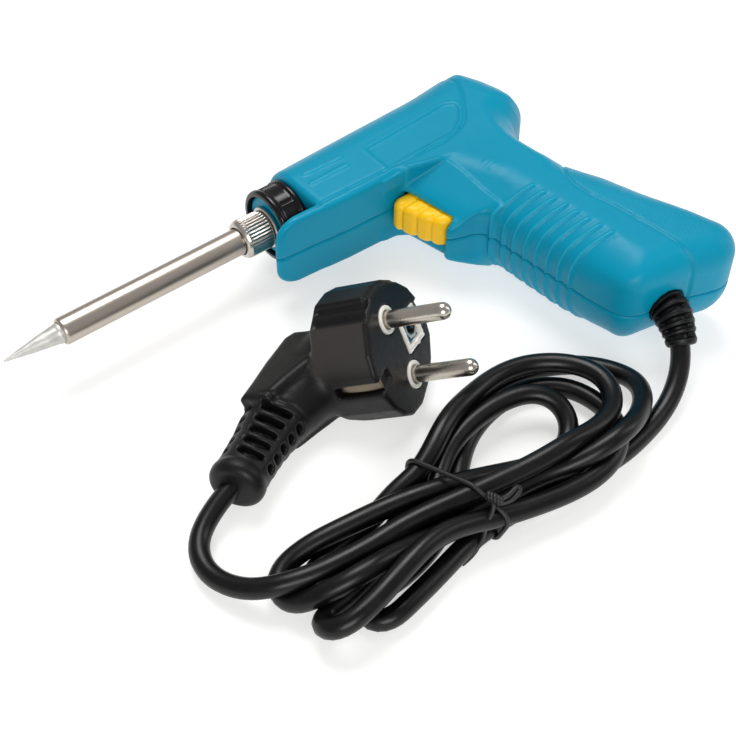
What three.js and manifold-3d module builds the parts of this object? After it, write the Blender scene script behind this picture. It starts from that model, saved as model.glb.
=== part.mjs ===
// Pistol-type quick-heat soldering iron lying on its side, with its cord in a tied hank and an angled earthed plug.
// Millimetres, +Z up. Working coordinates: X runs along the barrel from the bit (-X) to the rear (+X), Y = 0 and
// Z = MID_Z is the barrel axis, -Y is the trigger and grip side. The whole model is shifted at the end so that its
// origin is under the middle of the iron itself, on the surface that it lies on.
import * as THREE from 'three';
import { mergeVertices } from 'three/addons/utils/BufferGeometryUtils.js';
import Module from 'manifold-3d';

const wasm = await Module();
wasm.setup();

// ---------- driving dimensions ----------
const MID_Z = 17;            // height of the parting plane = half the grip thickness
const WALL = 2.4;            // moulded wall
const SEAM = 0.12;           // half of the seam gap between the two shells
const GAP = 0.3;             // clearance between pieces
const TIP_X = -76.2;         // point of the bit
const TUBE_X0 = -59.0;       // front end of the barrel tube
const TUBE_R = 4.0;          // barrel tube radius
const NUT_R = 5.9;           // knurled nut radius
const NUT_LEN = 9.2;
const RING_R = 11.3;         // nose ring radius
const RING_X0 = 9.8, RING_X1 = 18.7;
const HOUSE_X0 = 19.0;       // front face of the housing
const TRIGGER_TRAVEL = 4.0;
const CORD_R = 2.75;         // mains cord radius

// ---------- helpers ----------
const V = (x, y, z) => new THREE.Vector3(x, y, z);
function orient(g) {
  const p = g.attributes.position, ix = g.index;
  let vol = 0;
  const a = V(), b = V(), c = V();
  for (let i = 0; i < ix.count; i += 3) {
    a.fromBufferAttribute(p, ix.getX(i)); b.fromBufferAttribute(p, ix.getX(i + 1)); c.fromBufferAttribute(p, ix.getX(i + 2));
    vol += a.dot(b.clone().cross(c));
  }
  if (vol < 0) for (let i = 0; i < ix.count; i += 3) { const t = ix.getX(i); ix.setX(i, ix.getX(i + 1)); ix.setX(i + 1, t); }
  return g;
}
function weld(g) {
  const q = g.clone();
  q.deleteAttribute('normal'); q.deleteAttribute('uv');
  return orient(mergeVertices(q, 1e-4));
}
function solid(g) {
  const q = weld(g);
  return new wasm.Manifold(new wasm.Mesh({
    numProp: 3,
    vertProperties: new Float32Array(q.attributes.position.array),
    triVerts: new Uint32Array(q.index.array),
  }));
}
function geometry(m) {
  const me = m.getMesh();
  const g = new THREE.BufferGeometry();
  g.setAttribute('position', new THREE.BufferAttribute(new Float32Array(me.vertProperties), 3));
  g.setIndex(new THREE.BufferAttribute(new Uint32Array(me.triVerts), 1));
  g.computeVertexNormals();
  return g;
}
const shape = (pts) => new THREE.Shape(pts.map(([x, y]) => new THREE.Vector2(x, y)));
const extrude = (pts, z0, z1) => new THREE.ExtrudeGeometry(shape(pts), { depth: z1 - z0, bevelEnabled: false }).translate(0, 0, z0);
const box = (x0, x1, y0, y1, z0, z1) => new THREE.BoxGeometry(x1 - x0, y1 - y0, z1 - z0).translate((x0 + x1) / 2, (y0 + y1) / 2, (z0 + z1) / 2);
// a body of revolution about the barrel axis: profile [x, r] pairs
function turned(profile, seg = 28, y = 0, z = MID_Z) {
  const g = new THREE.LatheGeometry(profile.map(([x, r]) => new THREE.Vector2(r, x)), seg);
  g.rotateZ(-Math.PI / 2);
  return weld(g.translate(0, y, z));
}
const rodX = (x0, x1, r, y, z, seg = 20) => new THREE.CylinderGeometry(r, r, x1 - x0, seg).rotateZ(Math.PI / 2).translate((x0 + x1) / 2, y, z);
const rodY = (y0, y1, r, x, z, seg = 20) => new THREE.CylinderGeometry(r, r, y1 - y0, seg).translate(x, (y0 + y1) / 2, z);
const rodZ = (z0, z1, r, x, y, seg = 18) => new THREE.CylinderGeometry(r, r, z1 - z0, seg).rotateX(Math.PI / 2).translate(x, y, (z0 + z1) / 2);
function tube(points, r, seg = 8, steps = 40) {
  const curve = new THREE.CatmullRomCurve3(points.map((p) => V(...p)), false, 'centripetal');
  const s = new THREE.Shape();
  for (let i = 0; i < seg; i++) {
    const a = (2 * Math.PI * (i + 0.5)) / seg;
    if (i === 0) s.moveTo(r * Math.cos(a), r * Math.sin(a)); else s.lineTo(r * Math.cos(a), r * Math.sin(a));
  }
  s.closePath();
  return weld(new THREE.ExtrudeGeometry(s, { steps, bevelEnabled: false, extrudePath: curve, curveSegments: 1 }));
}
// linear interpolation in a table of [key, values...]
function table(rows, k) {
  if (k <= rows[0][0]) return rows[0].slice(1);
  for (let i = 1; i < rows.length; i++) {
    if (k <= rows[i][0]) {
      const t = (k - rows[i - 1][0]) / (rows[i][0] - rows[i - 1][0]);
      return rows[i].slice(1).map((v, j) => rows[i - 1][j + 1] + t * (v - rows[i - 1][j + 1]));
    }
  }
  return rows[rows.length - 1].slice(1);
}
// a loft: unit section [a, b] carried through the stations
function loft(section, stations, map) {
  const n = stations.length - 1;
  const g = new THREE.ExtrudeGeometry(shape(section), { depth: n, steps: n, bevelEnabled: false });
  const p = g.attributes.position;
  for (let i = 0; i < p.count; i++) {
    const s = stations[Math.round(p.getZ(i))];
    const [x, y, z] = map(p.getX(i), p.getY(i), s);
    p.setXYZ(i, x, y, z);
  }
  return solid(g);
}
const union = (...m) => m.reduce((a, b) => a.add(b));

// ---------- outline of the moulded housing, seen from above as it lies ----------
const OUTLINE = [
  [19.0, -12.2], [19.0, 10.9], [19.6, 12.2], [21.0, 12.8], [40, 13.5], [60, 14.1], [86, 14.9], [88.2, 14.6], [91, 14.8], [93.9, 14.0],
  [96.5, 10.9], [99.4, 4], [101.2, -3.1], [101.6, -7.6], [100.4, -11.3], [96.8, -14.6], [92.2, -17.6], [89.4, -21], [88.0, -25],
  [87.6, -29], [88.0, -35], [89.3, -42], [91.8, -48.5], [94.3, -54.5], [96.2, -62], [97.4, -70.3], [98.4, -79], [99.0, -86.4], [99.4, -91],
  [99.4, -95.0], [98.6, -98.0], [96.6, -99.2], [89.1, -98.0], [82.3, -96.9], [71.4, -94.7], [67.0, -93.9], [64.6, -92.6], [63.1, -89.9], [61.4, -80],
  [60.3, -70], [59.4, -61], [58.6, -52.9], [58.2, -47.0], [57.1, -42.5], [55.0, -40.6], [47.9, -38.2], [47.2, -37.2], [47.4, -36.4], [51.0, -35.4], [51.0, -17.6],
  [49.6, -16.7], [43.3, -16.6], [27.6, -16.2], [19.0, -15.5], [6.2, -14.7], [4.6, -14.3], [3.6, -13.4], [3.9, -12.6], [5.0, -12.2],
];

// barrel: top and bottom edge and half thickness along X
const BARREL = [
  [19, 12.9, -15.6, 12.6], [21, 13.0, -15.8, 12.9], [30, 13.3, -16.2, 13.2], [44, 13.7, -16.7, 13.8], [60, 14.2, -17, 14.4],
  [74, 14.6, -18, 15.0], [86, 15.0, -20, 15.2], [93, 14.6, -18.4, 14.8], [96.5, 11.4, -15.4, 13.6], [99.2, 5, -13, 11.6],
  [100.9, -1, -11.5, 9.6], [101.7, -4.5, -9.5, 7.2],
];
// grip: front and back edge and half thickness along -Y
const GRIP = [
  [-14, 50.8, 93, 15], [-20, 50.8, 90.8, 15.2], [-26, 50.8, 88.0, 15.4], [-34, 50.6, 88.1, 15.7], [-37, 47.1, 88.6, 15.8], [-40, 52.0, 89.1, 16.0],
  [-43, 57.1, 89.7, 16.1], [-48, 58.2, 91.8, 16.4], [-55, 58.8, 94.6, 16.7], [-63, 59.6, 96.5, 17.15], [-72, 60.4, 97.8, 17.25],
  [-82, 61.6, 98.8, 17.25], [-89, 62.9, 99.5, 16.9], [-93, 64, 99.6, 15.6], [-96, 64, 99.6, 13.8], [-98.2, 66, 99, 11.8], [-99.8, 68, 98, 9.4],
];
const BARREL_SECTION = [];
for (let i = 0; i <= 14; i++) { const a = Math.PI * i / 14; BARREL_SECTION.push([0.55 + 0.45 * Math.sin(a), -Math.cos(a)]); }
BARREL_SECTION.push([0.1, 1], [0.035, 0.93], [0, 0.78], [0, -0.78], [0.035, -0.93], [0.1, -1]);
const GRIP_SECTION = [];
for (let i = 0; i < 28; i++) {
  const a = (2 * Math.PI * i) / 28, n = 2 / 2.9;
  const c = Math.cos(a), s = Math.sin(a);
  GRIP_SECTION.push([0.5 + 0.5 * Math.sign(c) * Math.abs(c) ** n, Math.sign(s) * Math.abs(s) ** n]);
}
// half thickness 17 is reached on a flat: the iron rests on it
function barrelBody(inset) {
  const xs = BARREL.map((r) => r[0]).filter((x) => inset === 0 || (x > 21 && x < 99));
  const st = inset === 0 ? xs : [21.4, ...xs, 98.6];
  return loft(BARREL_SECTION, st, (a, b, x) => {
    const [t, bo, h] = table(BARREL, x);
    const y0 = bo + inset, y1 = t - inset;
    return [x, y0 + (y1 - y0) * a, MID_Z + (h - inset) * b];
  });
}
function gripBody(inset) {
  const ys = GRIP.map((r) => r[0]).filter((y) => inset === 0 || (y < -17 && y > -93));
  const st = inset === 0 ? ys : [-12, ...ys, -92.6];
  return loft(GRIP_SECTION, st, (a, b, y) => {
    const [f, r, h] = table(GRIP.map((q) => [-q[0], ...q.slice(1)]), -y);
    const x0 = f + inset + (inset && y > -41.5 && y < -35 ? 5.5 : 0), x1 = r - inset;
    return [x0 + (x1 - x0) * a, y, MID_Z + (h - inset) * b];
  });
}
const plate = solid(extrude(OUTLINE, 0, 2 * MID_Z)); // flats at z = 0 and z = 2 * MID_Z on the grip's cheeks
// chin: thin plate that reaches forward under the nose ring
const CHIN_Z = 12.5;
const chin = (() => {
  const pts = [], x0 = 3.4, x1 = 24, r = 5.5;
  for (let i = 0; i <= 5; i++) { const a = Math.PI / 2 * i / 5; pts.push([x0 + r - r * Math.cos(a), CHIN_Z - r + r * Math.sin(a)]); }
  pts.push([x1, CHIN_Z]); pts.push([x1, -CHIN_Z]);
  for (let i = 5; i >= 0; i--) { const a = Math.PI / 2 * i / 5; pts.push([x0 + r - r * Math.cos(a), -(CHIN_Z - r + r * Math.sin(a))]); }
  const g = new THREE.ExtrudeGeometry(shape(pts), { depth: 4.5, bevelEnabled: false });
  g.rotateX(Math.PI / 2).translate(0, -11.9, MID_Z); // extrusion now runs to -Y
  return solid(g);
})();
const spigot = solid(rodX(10.9, 23, 9.2, 0, MID_Z, 36));
let outer = union(barrelBody(0), gripBody(0), chin).intersect(plate).add(spigot);
// cavities
let hollow = union(barrelBody(WALL), gripBody(WALL));
const bore = solid(rodX(9, 24, 5.25, 0, MID_Z, 28));
const triggerPocket = solid(box(53.3, 65.2, -37.6, -16.5, MID_Z - 8.8, MID_Z + 8.8));
const triggerWindow = solid(box(44.5, 56, -36.5, -16.95, MID_Z - 7.7, MID_Z + 7.7));
const cordHole = solid(rodY(-102, -88, 5.5, 77.0, MID_Z, 24));
const keep = solid(box(-10, 130, -120, 30, MID_Z + SEAM, 60));
const keepLow = solid(box(-10, 130, -120, 30, -5, MID_Z - SEAM));
const SCREWS = [[33, -10.4, 4.1], [82.5, 5.5, 3.2], [83, -46.5, 1.2], [91.0, -88.0, 1.2]]; // x, y, outer skin height there
const CLAMP_X = [70.6, 83.4], CLAMP_Y = -87.2;

function shell(upper) {
  let m = outer.subtract(hollow);
  for (const [x, y] of SCREWS) {
    const post = solid(upper ? rodZ(MID_Z, 32, 3.7, x, y) : rodZ(2.2, MID_Z, 3.9, x, y)).intersect(outer);
    m = m.add(post);
  }
  if (!upper) for (const x of CLAMP_X) m = m.add(solid(rodZ(1.8, 19.9, 2.4, x, CLAMP_Y)));
  m = m.subtract(bore).subtract(triggerPocket).subtract(triggerWindow).subtract(cordHole);
  for (const [x, y, skin] of SCREWS) {
    if (upper) m = m.subtract(solid(rodZ(MID_Z - 2, 25.4, 1.65, x, y)));
    else m = m.subtract(solid(rodZ(-3, MID_Z + 2, 1.75, x, y))).subtract(solid(rodZ(-3, skin + 3.4, 3.3, x, y)));
  }
  if (upper) return m.intersect(keep);
  const low = m.intersect(keepLow);
  let posts = null;
  for (const x of CLAMP_X) {
    const p = solid(rodZ(MID_Z - 2, 19.9, 2.4, x, CLAMP_Y));
    posts = posts ? posts.add(p) : p;
  }
  let r = low.add(posts);
  for (const x of CLAMP_X) r = r.subtract(solid(rodZ(12.5, 21, 1.45, x, CLAMP_Y)));
  return r;
}

// ---------- materials ----------
const mat = (color, roughness, metalness = 0) => new THREE.MeshStandardMaterial({ color, roughness, metalness });
const BLUE = mat(0x00a0c5, 0.42), BLACK = mat(0x191a1c, 0.45), GLOSS = mat(0x101012, 0.2), YELLOW = mat(0xeebc22, 0.38);
const NICKEL = mat(0xb9b2a8, 0.28, 1), STEEL = mat(0xa8a8a8, 0.35, 1), TINNED = mat(0xc9ccd0, 0.3, 1), WHITE = mat(0xe9e6de, 0.5);
const CERAMIC = mat(0xe8e2d2, 0.7), COPPER = mat(0xb86a3c, 0.4, 1), SWITCHBLK = mat(0x26282b, 0.5), RED = mat(0x9c5a2c, 0.5), NAVY = mat(0x2d5fae, 0.5), GREEN = mat(0x9bb12c, 0.5);
const CORDBLK = mat(0x151517, 0.38);

const world = new THREE.Group();
const iron = new THREE.Group();
const leads = new THREE.Group();
world.add(iron, leads);
function part(name, g, material, group = iron) {
  const m = new THREE.Mesh(g.isBufferGeometry ? g : geometry(g), material);
  m.name = name;
  group.add(m);
  return m;
}

// ---------- hot end ----------
part('soldering_tip', turned([[TIP_X, 0], [TIP_X + 0.15, 0.35], [-68.4, 1.55], [-60.2, 2.85], [-59.4, 3.0], [-42, 3.0], [-42, 0]], 24), TINNED);
part('barrel_tube', turned([[TUBE_X0, 3.3], [TUBE_X0, 3.7], [TUBE_X0 + 0.5, TUBE_R], [2.5, TUBE_R], [2.5, 5.0], [3.6, 5.0], [3.6, 3.3], [TUBE_X0, 3.3]], 28), NICKEL);
{ // nut with a straight knurl
  const n = 30, pts = [];
  for (let i = 0; i < 2 * n; i++) { const a = Math.PI * i / n, r = i % 2 ? NUT_R : NUT_R - 0.35; pts.push([r * Math.cos(a), r * Math.sin(a)]); }
  const g = new THREE.ExtrudeGeometry(shape(pts), { depth: NUT_LEN, bevelEnabled: false });
  g.rotateY(Math.PI / 2).translate(0, 0, MID_Z);
  let nut = solid(g).subtract(solid(rodX(-1, 20, 4.3, 0, MID_Z, 28))).subtract(solid(rodX(2.2, 20, 5.3, 0, MID_Z, 28)));
  part('knurled_nut', nut, NICKEL);
}
part('heater_mount', turned([[3.9, 2.8], [3.9, 5.0], [9.5, 5.0], [9.5, 5.6], [10.5, 5.6], [10.5, 4.9], [24.0, 4.9], [24.0, 8.2], [26.2, 8.2], [26.2, 2.8], [3.9, 2.8]], 28), STEEL);
part('ceramic_heater', turned([[-38, 0], [-38, 2.4], [31, 2.4], [31, 0]], 20), CERAMIC);
part('nose_ring', turned([[RING_X0, 9.55], [RING_X0, 10.7], [RING_X0 + 0.5, RING_R], [RING_X1, RING_R], [RING_X1, 9.55], [RING_X0, 9.55]], 36), GLOSS);

// ---------- housing ----------
part('housing_upper_shell', shell(true), BLUE);
part('housing_lower_shell', shell(false), BLUE);
SCREWS.forEach(([x, y, skin], i) => {
  const h = skin + 3.1;
  let s = solid(rodZ(h, 24.9, 1.35, x, y, 14)).add(solid(rodZ(h - 2.0, h, 2.8, x, y, 18)));
  s = s.subtract(solid(box(x - 1.7, x + 1.7, y - 0.3, y + 0.3, h - 3, h - 1.1))).subtract(solid(box(x - 0.3, x + 0.3, y - 1.7, y + 1.7, h - 3, h - 1.1)));
  part(`housing_screw_${i + 1}`, s, STEEL);
});

// ---------- trigger and switch ----------
const TR_Y0 = -36.1, TR_Y1 = -17.3;
{
  const face = [];
  // four shallow finger steps down the front face
  const F = [[43.0, TR_Y1 - 0.9], [43.9, TR_Y1 - 3.6], [44.7, -22.2], [45.1, -23.9], [46.0, -26.8], [46.9, -28.3], [47.5, -31.4], [48.5, -33.2], [49.3, TR_Y0 + 0.8]];
  face.push([60.4, TR_Y1], [44.0, TR_Y1], ...F, [50.4, TR_Y0], [60.4, TR_Y0]);
  let t = solid(extrude(face, MID_Z - 7.3, MID_Z + 7.3));
  t = t.add(solid(box(54.2, 60.4, -37.2, TR_Y1, MID_Z - 8.3, MID_Z + 8.3)));
  part('trigger', t, YELLOW);
}
part('switch_plunger', solid(rodX(60.7, 71, 1.9, -28, MID_Z, 16)), WHITE);
{
  const pts = [];
  const turns = 5, x0 = 61.2, x1 = 67.2, r = 3.3;
  for (let i = 0; i <= turns * 8; i++) { const a = (2 * Math.PI * i) / 8; pts.push([x0 + (x1 - x0) * i / (turns * 8), -28 + r * Math.cos(a), MID_Z + r * Math.sin(a)]); }
  part('trigger_spring', tube(pts, 0.35, 5, turns * 8), STEEL);
}
{
  let s = solid(box(67.8, 81, -36.4, -20.2, MID_Z - 7, MID_Z + 7)).subtract(solid(rodX(60, 76.4, 2.3, -28, MID_Z, 20)));
  part('switch_body', s, SWITCHBLK);
}
part('switch_terminal_in', solid(box(81.3, 85, -34.6, -31.2, MID_Z - 0.4, MID_Z + 0.4)), COPPER);
part('switch_terminal_out', solid(box(70.5, 73.5, -19.9, -16.4, MID_Z - 0.4, MID_Z + 0.4)), COPPER);
part('rectifier_diode', turned([[55, 0], [55, 0.4], [58, 0.4], [58, 2.3], [66, 2.3], [66, 0.4], [69, 0.4], [69, 0]], 14, -8.5, MID_Z + 4), BLACK);
part('heater_lead_switched', tube([[31.4, -1.1, MID_Z], [37, -2.4, MID_Z + 1], [46, -7.2, MID_Z + 3.6], [54.6, -8.5, MID_Z + 4]], 0.7, 6, 10), WHITE);
part('diode_to_switch_wire', tube([[69.4, -8.5, MID_Z + 4], [72.4, -10, MID_Z + 3], [72.2, -13, MID_Z + 1], [72, -16.0, MID_Z]], 0.7, 6, 8), RED);
part('live_core', tube([[77.2, -84.4, MID_Z + 1.2], [76.2, -70, MID_Z + 1], [75.4, -54, MID_Z + 0.6], [76.6, -43.5, MID_Z], [80.5, -40.0, MID_Z], [83.6, -38.6, MID_Z], [84.0, -35.5, MID_Z]], 0.9, 6, 20), RED);
part('neutral_core', tube([[77.2, -84.4, MID_Z - 1.6], [70, -70, MID_Z - 3], [68, -52, MID_Z - 7.5], [74, -38.5, MID_Z - 9.2], [77, -26, MID_Z - 9.4], [72, -12, MID_Z - 8], [58, 2, MID_Z - 5], [44, 3, MID_Z - 2], [31.4, 1.1, MID_Z]], 0.9, 6, 40), NAVY);
part('earth_core', tube([[75.2, -84.2, MID_Z + 0.2], [66, -70, MID_Z + 3], [66, -52, MID_Z + 6], [72, -39, MID_Z + 8.6], [76, -26, MID_Z + 9], [74, -6, MID_Z + 8.4], [60, 5, MID_Z + 7.5], [42, 7.5, MID_Z + 5.5], [30, 6.2, MID_Z + 2.5], [26.6, 5.9, MID_Z + 1.2]], 0.9, 6, 44), GREEN);

// ---------- cord anchorage ----------
part('cord_inner_end', solid(rodY(-90.6, -84.9, CORD_R, 77.0, MID_Z, 16)), CORDBLK);
part('cord_clamp_bar', solid(box(68.4, 85.6, -89.2, -85.2, 20.2, 22.2)).subtract(solid(rodZ(18, 25, 1.45, CLAMP_X[0], CLAMP_Y))).subtract(solid(rodZ(18, 25, 1.45, CLAMP_X[1], CLAMP_Y))), BLACK);
CLAMP_X.forEach((x, i) => part(`clamp_screw_${i + 1}`, solid(rodZ(13.2, 22.6, 1.15, x, CLAMP_Y, 12)).add(solid(rodZ(22.5, 24.2, 2.1, x, CLAMP_Y, 14))), STEEL));

// ---------- strain relief, cord, hank, tie ----------
const RELIEF = [[77.0, -91.2, MID_Z], [77.0, -95.6, MID_Z], [75.9, -99.6, 15.9], [74.6, -103.4, 13.3], [73.1, -106.4, 10.3]];
{
  const body = solid(tube(RELIEF, 4.9, 14, 14));
  const flange = solid(rodY(-92.5, -91.1, 6.7, 77.0, MID_Z, 24));
  part('strain_relief', body.add(flange), BLACK, leads);
}
// free stretch from the strain relief down to the surface and along to the hank
const CORD_A = [[72.82, -106.83, 9.9], [71.0, -108.8, 7.9], [68.6, -110.6, 5.9], [65.4, -112.3, 4.2], [61.5, -113.8, 3.1], [57.8, -114.85, 2.95], [55.4, -115.45, 2.95]];
part('cord_from_iron', tube(CORD_A, CORD_R, 8, 14), CORDBLK, leads);
// outer shape of the tied hank
const HANK = [
  [-12.6, -89.0], [-3.0, -86.6], [7.1, -80.4], [18, -76.0], [32, -74.4], [39.1, -76.0], [47.8, -80.9], [55.5, -88.0], [59.9, -93.2], [61.9, -98.6], [61.0, -105.4], [57.3, -110.6],
  [52.4, -114.6], [43.4, -118.0], [36, -119.8], [28.2, -121.1], [18.4, -120.5], [8.5, -118.1], [0, -116.4], [-7.4, -116.2], [-13.5, -116.6], [-24.9, -119.1], [-34, -119.9], [-42.5, -120.4],
  [-48.2, -119.4], [-53.6, -116.8], [-58.7, -113.6], [-60.3, -108.3], [-60.3, -102], [-60.2, -97], [-58.2, -92], [-53, -89.6], [-46, -89.0], [-32.7, -88.6], [-20, -89.6],
];
const HANK_Z0 = 1.15, HANK_Z1 = 13.2;
part('cord_hank', solid(extrude(HANK, HANK_Z0, HANK_Z1)), CORDBLK, leads);
// tie round the middle of the hank
{
  const a = new THREE.Vector2(-13.4, -87.0), b = new THREE.Vector2(1.0, -118.6);
  const d = b.clone().sub(a), L = d.length(), mid = a.clone().add(b).multiplyScalar(0.5);
  const o = [[-L / 2 - 0.9, 0.1], [L / 2 + 0.9, 0.1], [L / 2 + 0.9, HANK_Z1 + 1.2], [-L / 2 - 0.9, HANK_Z1 + 1.2]];
  const i = [[-L / 2, 0.85], [L / 2, 0.85], [L / 2, HANK_Z1 + 0.35], [-L / 2, HANK_Z1 + 0.35]];
  const s = shape(o); s.holes.push(new THREE.Path(i.map(([x, y]) => new THREE.Vector2(x, y))));
  const g = new THREE.ExtrudeGeometry(s, { depth: 1.6, bevelEnabled: false }).translate(0, 0, -0.8);
  g.rotateX(Math.PI / 2).rotateZ(Math.atan2(d.y, d.x)).translate(mid.x, mid.y, 0);
  part('cord_tie', solid(g), BLACK, leads);
}

// ---------- plug (local axes: X along the pins, Y from pin 1 to pin 2, Z away from the cord exit) ----------
const PLUG_C = V(8.14, -63.66, 19.2);
const P = V(0.5023, -0.7376, 0.4512).normalize();
let T = V(0.8429, 0.5341, -0.0652); T.addScaledVector(P, -T.dot(P)).normalize();
const L = new THREE.Vector3().crossVectors(T, P);
const plugMatrix = new THREE.Matrix4().makeBasis(P, L, T).setPosition(PLUG_C);
const floorBox = solid(box(-200, 200, -200, 200, 0.25, 200));
const place = (g) => solid(g.clone ? g.clone().applyMatrix4(plugMatrix) : g);
const NECK0 = V(-7, 0, -9), NECK1 = V(-30.4, 0.3, -48.1);
{
  const face = [];
  for (let i = 0; i < 28; i++) {
    const a = (2 * Math.PI * i) / 28, n = 2 / 2.5, c = Math.cos(a), s = Math.sin(a);
    face.push([18.3 * Math.sign(c) * Math.abs(c) ** n, (s > 0 ? 18.2 : 16.5) * Math.sign(s) * Math.abs(s) ** n]);
  }
  const head = new THREE.ExtrudeGeometry(shape(face), { depth: 17.5, bevelEnabled: false }).translate(0, 0, -17.5);
  head.applyMatrix4(new THREE.Matrix4().makeBasis(V(0, 1, 0), V(0, 0, 1), V(1, 0, 0)));
  const dir = NECK1.clone().sub(NECK0), len = dir.length();
  const neck = new THREE.CylinderGeometry(7.0, 13.5, len, 20).translate(0, len / 2, 0);
  neck.applyQuaternion(new THREE.Quaternion().setFromUnitVectors(V(0, 1, 0), dir.clone().normalize())).translate(NECK0.x, NECK0.y, NECK0.z);
  let body = place(head).add(place(neck));
  const hole = (g) => { body = body.subtract(place(g)); };
  const rodP = (x0, x1, r, y, z, seg = 16) => new THREE.CylinderGeometry(r, r, x1 - x0, seg).rotateZ(Math.PI / 2).translate((x0 + x1) / 2, y, z);
  hole(rodP(-2.2, 3, 3.75, -9.5, 0, 20)); hole(rodP(-2.2, 3, 3.75, 9.5, 0, 20));
  hole(rodP(-13.5, 3, 3.9, 0, 9.2, 8));
  hole(box(-13.6, 3, -3.2, 3.2, 15.6, 21)); hole(box(-13.6, 3, -3.2, 3.2, -21, -14.1));
  hole(rodP(-9.3, 0, 2.75, -9.5, 0, 16)); hole(rodP(-9.3, 0, 2.75, 9.5, 0, 16));
  part('plug_body', body.intersect(floorBox), BLACK, leads);
  const pin = (y) => {
    const g = new THREE.LatheGeometry([[0, -9.0], [2.4, -9.0], [2.4, 17.2], [1.9, 18.5], [1.0, 19.0], [0, 19.0]].map(([r, x]) => new THREE.Vector2(r, x)), 16);
    return place(g.rotateZ(-Math.PI / 2).translate(0, y, 0));
  };
  part('plug_pin_1', pin(-9.5), NICKEL, leads);
  part('plug_pin_2', pin(9.5), NICKEL, leads);
  const collar = (y) => {
    const g = new THREE.LatheGeometry([[2.7, -1.9], [3.45, -1.9], [3.45, 0.25], [2.7, 0.25], [2.7, -1.9]].map(([r, x]) => new THREE.Vector2(r, x)), 20);
    return place(g.rotateZ(-Math.PI / 2).translate(0, y, 0));
  };
  part('pin_collar_1', collar(-9.5), WHITE, leads);
  part('pin_collar_2', collar(9.5), WHITE, leads);
  const sock = new THREE.LatheGeometry([[2.5, -13.2], [3.5, -13.2], [3.5, -0.4], [2.5, -0.4], [2.5, -13.2]].map(([r, x]) => new THREE.Vector2(r, x)), 8);
  part('earth_socket', place(sock.rotateZ(-Math.PI / 2).translate(0, 0, 9.2)), NICKEL, leads);
  part('earth_clip_upper', place(box(-13.2, -0.5, -2.8, 2.8, 15.95, 17.2)), NICKEL, leads);
  part('earth_clip_lower', place(box(-13.2, -0.5, -2.8, 2.8, -15.7, -14.45)).intersect(floorBox), NICKEL, leads);
}
const neckEnd = NECK1.clone().applyMatrix4(plugMatrix);
const neckDir = NECK1.clone().sub(NECK0).transformDirection(plugMatrix);
const start = neckEnd.clone().addScaledVector(neckDir, 0.35);
const s2 = neckEnd.clone().addScaledVector(neckDir, 5);
// free stretch from the plug round to the hank
const CORD_B = [[start.x, start.y, start.z], [s2.x, s2.y, s2.z - 0.1], [-57.4, -68.8, 5.8], [-62.6, -71.8, 4.2], [-66.6, -76.0, 3.2], [-68.6, -81.0, 3.0], [-68.2, -86.0, 3.0], [-66.2, -90.2, 3.0], [-63.9, -92.9, 3.0]];
part('cord_from_plug', tube(CORD_B, CORD_R, 8, 18), CORDBLK, leads);

// ---------- origin: under the middle of the iron itself ----------
world.updateMatrixWorld(true);
const bb = new THREE.Box3().setFromObject(iron, true);
world.position.set(-(bb.min.x + bb.max.x) / 2, -(bb.min.y + bb.max.y) / 2, -bb.min.z);

export default world;
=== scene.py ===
import math

import bpy
import numpy as np
from mathutils import Matrix, Vector


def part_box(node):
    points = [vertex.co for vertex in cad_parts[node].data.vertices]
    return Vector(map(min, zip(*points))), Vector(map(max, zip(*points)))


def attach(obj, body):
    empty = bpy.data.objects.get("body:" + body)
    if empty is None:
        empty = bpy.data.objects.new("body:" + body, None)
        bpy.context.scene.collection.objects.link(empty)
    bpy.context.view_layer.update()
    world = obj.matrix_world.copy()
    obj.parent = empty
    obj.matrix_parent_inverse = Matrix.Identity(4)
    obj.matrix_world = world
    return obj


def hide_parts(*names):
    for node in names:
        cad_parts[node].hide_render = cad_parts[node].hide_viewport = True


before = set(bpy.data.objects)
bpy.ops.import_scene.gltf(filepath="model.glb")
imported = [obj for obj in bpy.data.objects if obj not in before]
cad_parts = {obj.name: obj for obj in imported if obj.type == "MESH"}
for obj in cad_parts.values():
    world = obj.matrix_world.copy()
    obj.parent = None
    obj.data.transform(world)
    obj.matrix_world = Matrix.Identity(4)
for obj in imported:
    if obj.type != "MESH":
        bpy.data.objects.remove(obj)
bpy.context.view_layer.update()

# ------------------------------------------------------------------ frame
# Plan axes in mm: X along the barrel (bit end -X), -Y towards the grip, axis of the barrel at Y 0, Z 17.
_n0, _n1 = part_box("knurled_nut")
PX = _n0.x * 1000.0                       # plan X 0 is the nut's front face
PY = (_n0.y + _n1.y) * 500.0              # plan Y 0 is the barrel's axis
MZ = (_n0.z + _n1.z) * 500.0              # its height
ORG = np.array([PX, PY, 0.0])


def P(pts):
    """Plan millimetres to metres in the row frame."""
    return (np.asarray(pts, float) + ORG) / 1000.0


def camera():
    right = Vector((0.78006, -0.62570, 0.0))
    up = Vector((0.45761, 0.57050, 0.68200))
    fwd = Vector((0.42673, 0.53200, -0.73135))
    m = Matrix.Identity(4)
    for i in range(3):
        m[i][0], m[i][1], m[i][2] = right[i], up[i], -fwd[i]
    m.translation = Vector((-0.1730, -0.2174, 0.2880))
    data = bpy.data.cameras.new("camera")
    data.lens = 68.48
    data.sensor_width = 36.0
    data.clip_start = 0.01
    cam = bpy.data.objects.new("camera", data)
    bpy.context.scene.collection.objects.link(cam)
    cam.matrix_world = m
    bpy.context.scene.camera = cam


camera()


# ------------------------------------------------------------------ materials
def lin(c):
    out = []
    for v in c:
        v = v / 255.0
        out.append(v / 12.92 if v <= 0.04045 else ((v + 0.055) / 1.055) ** 2.4)
    return tuple(out)


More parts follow.
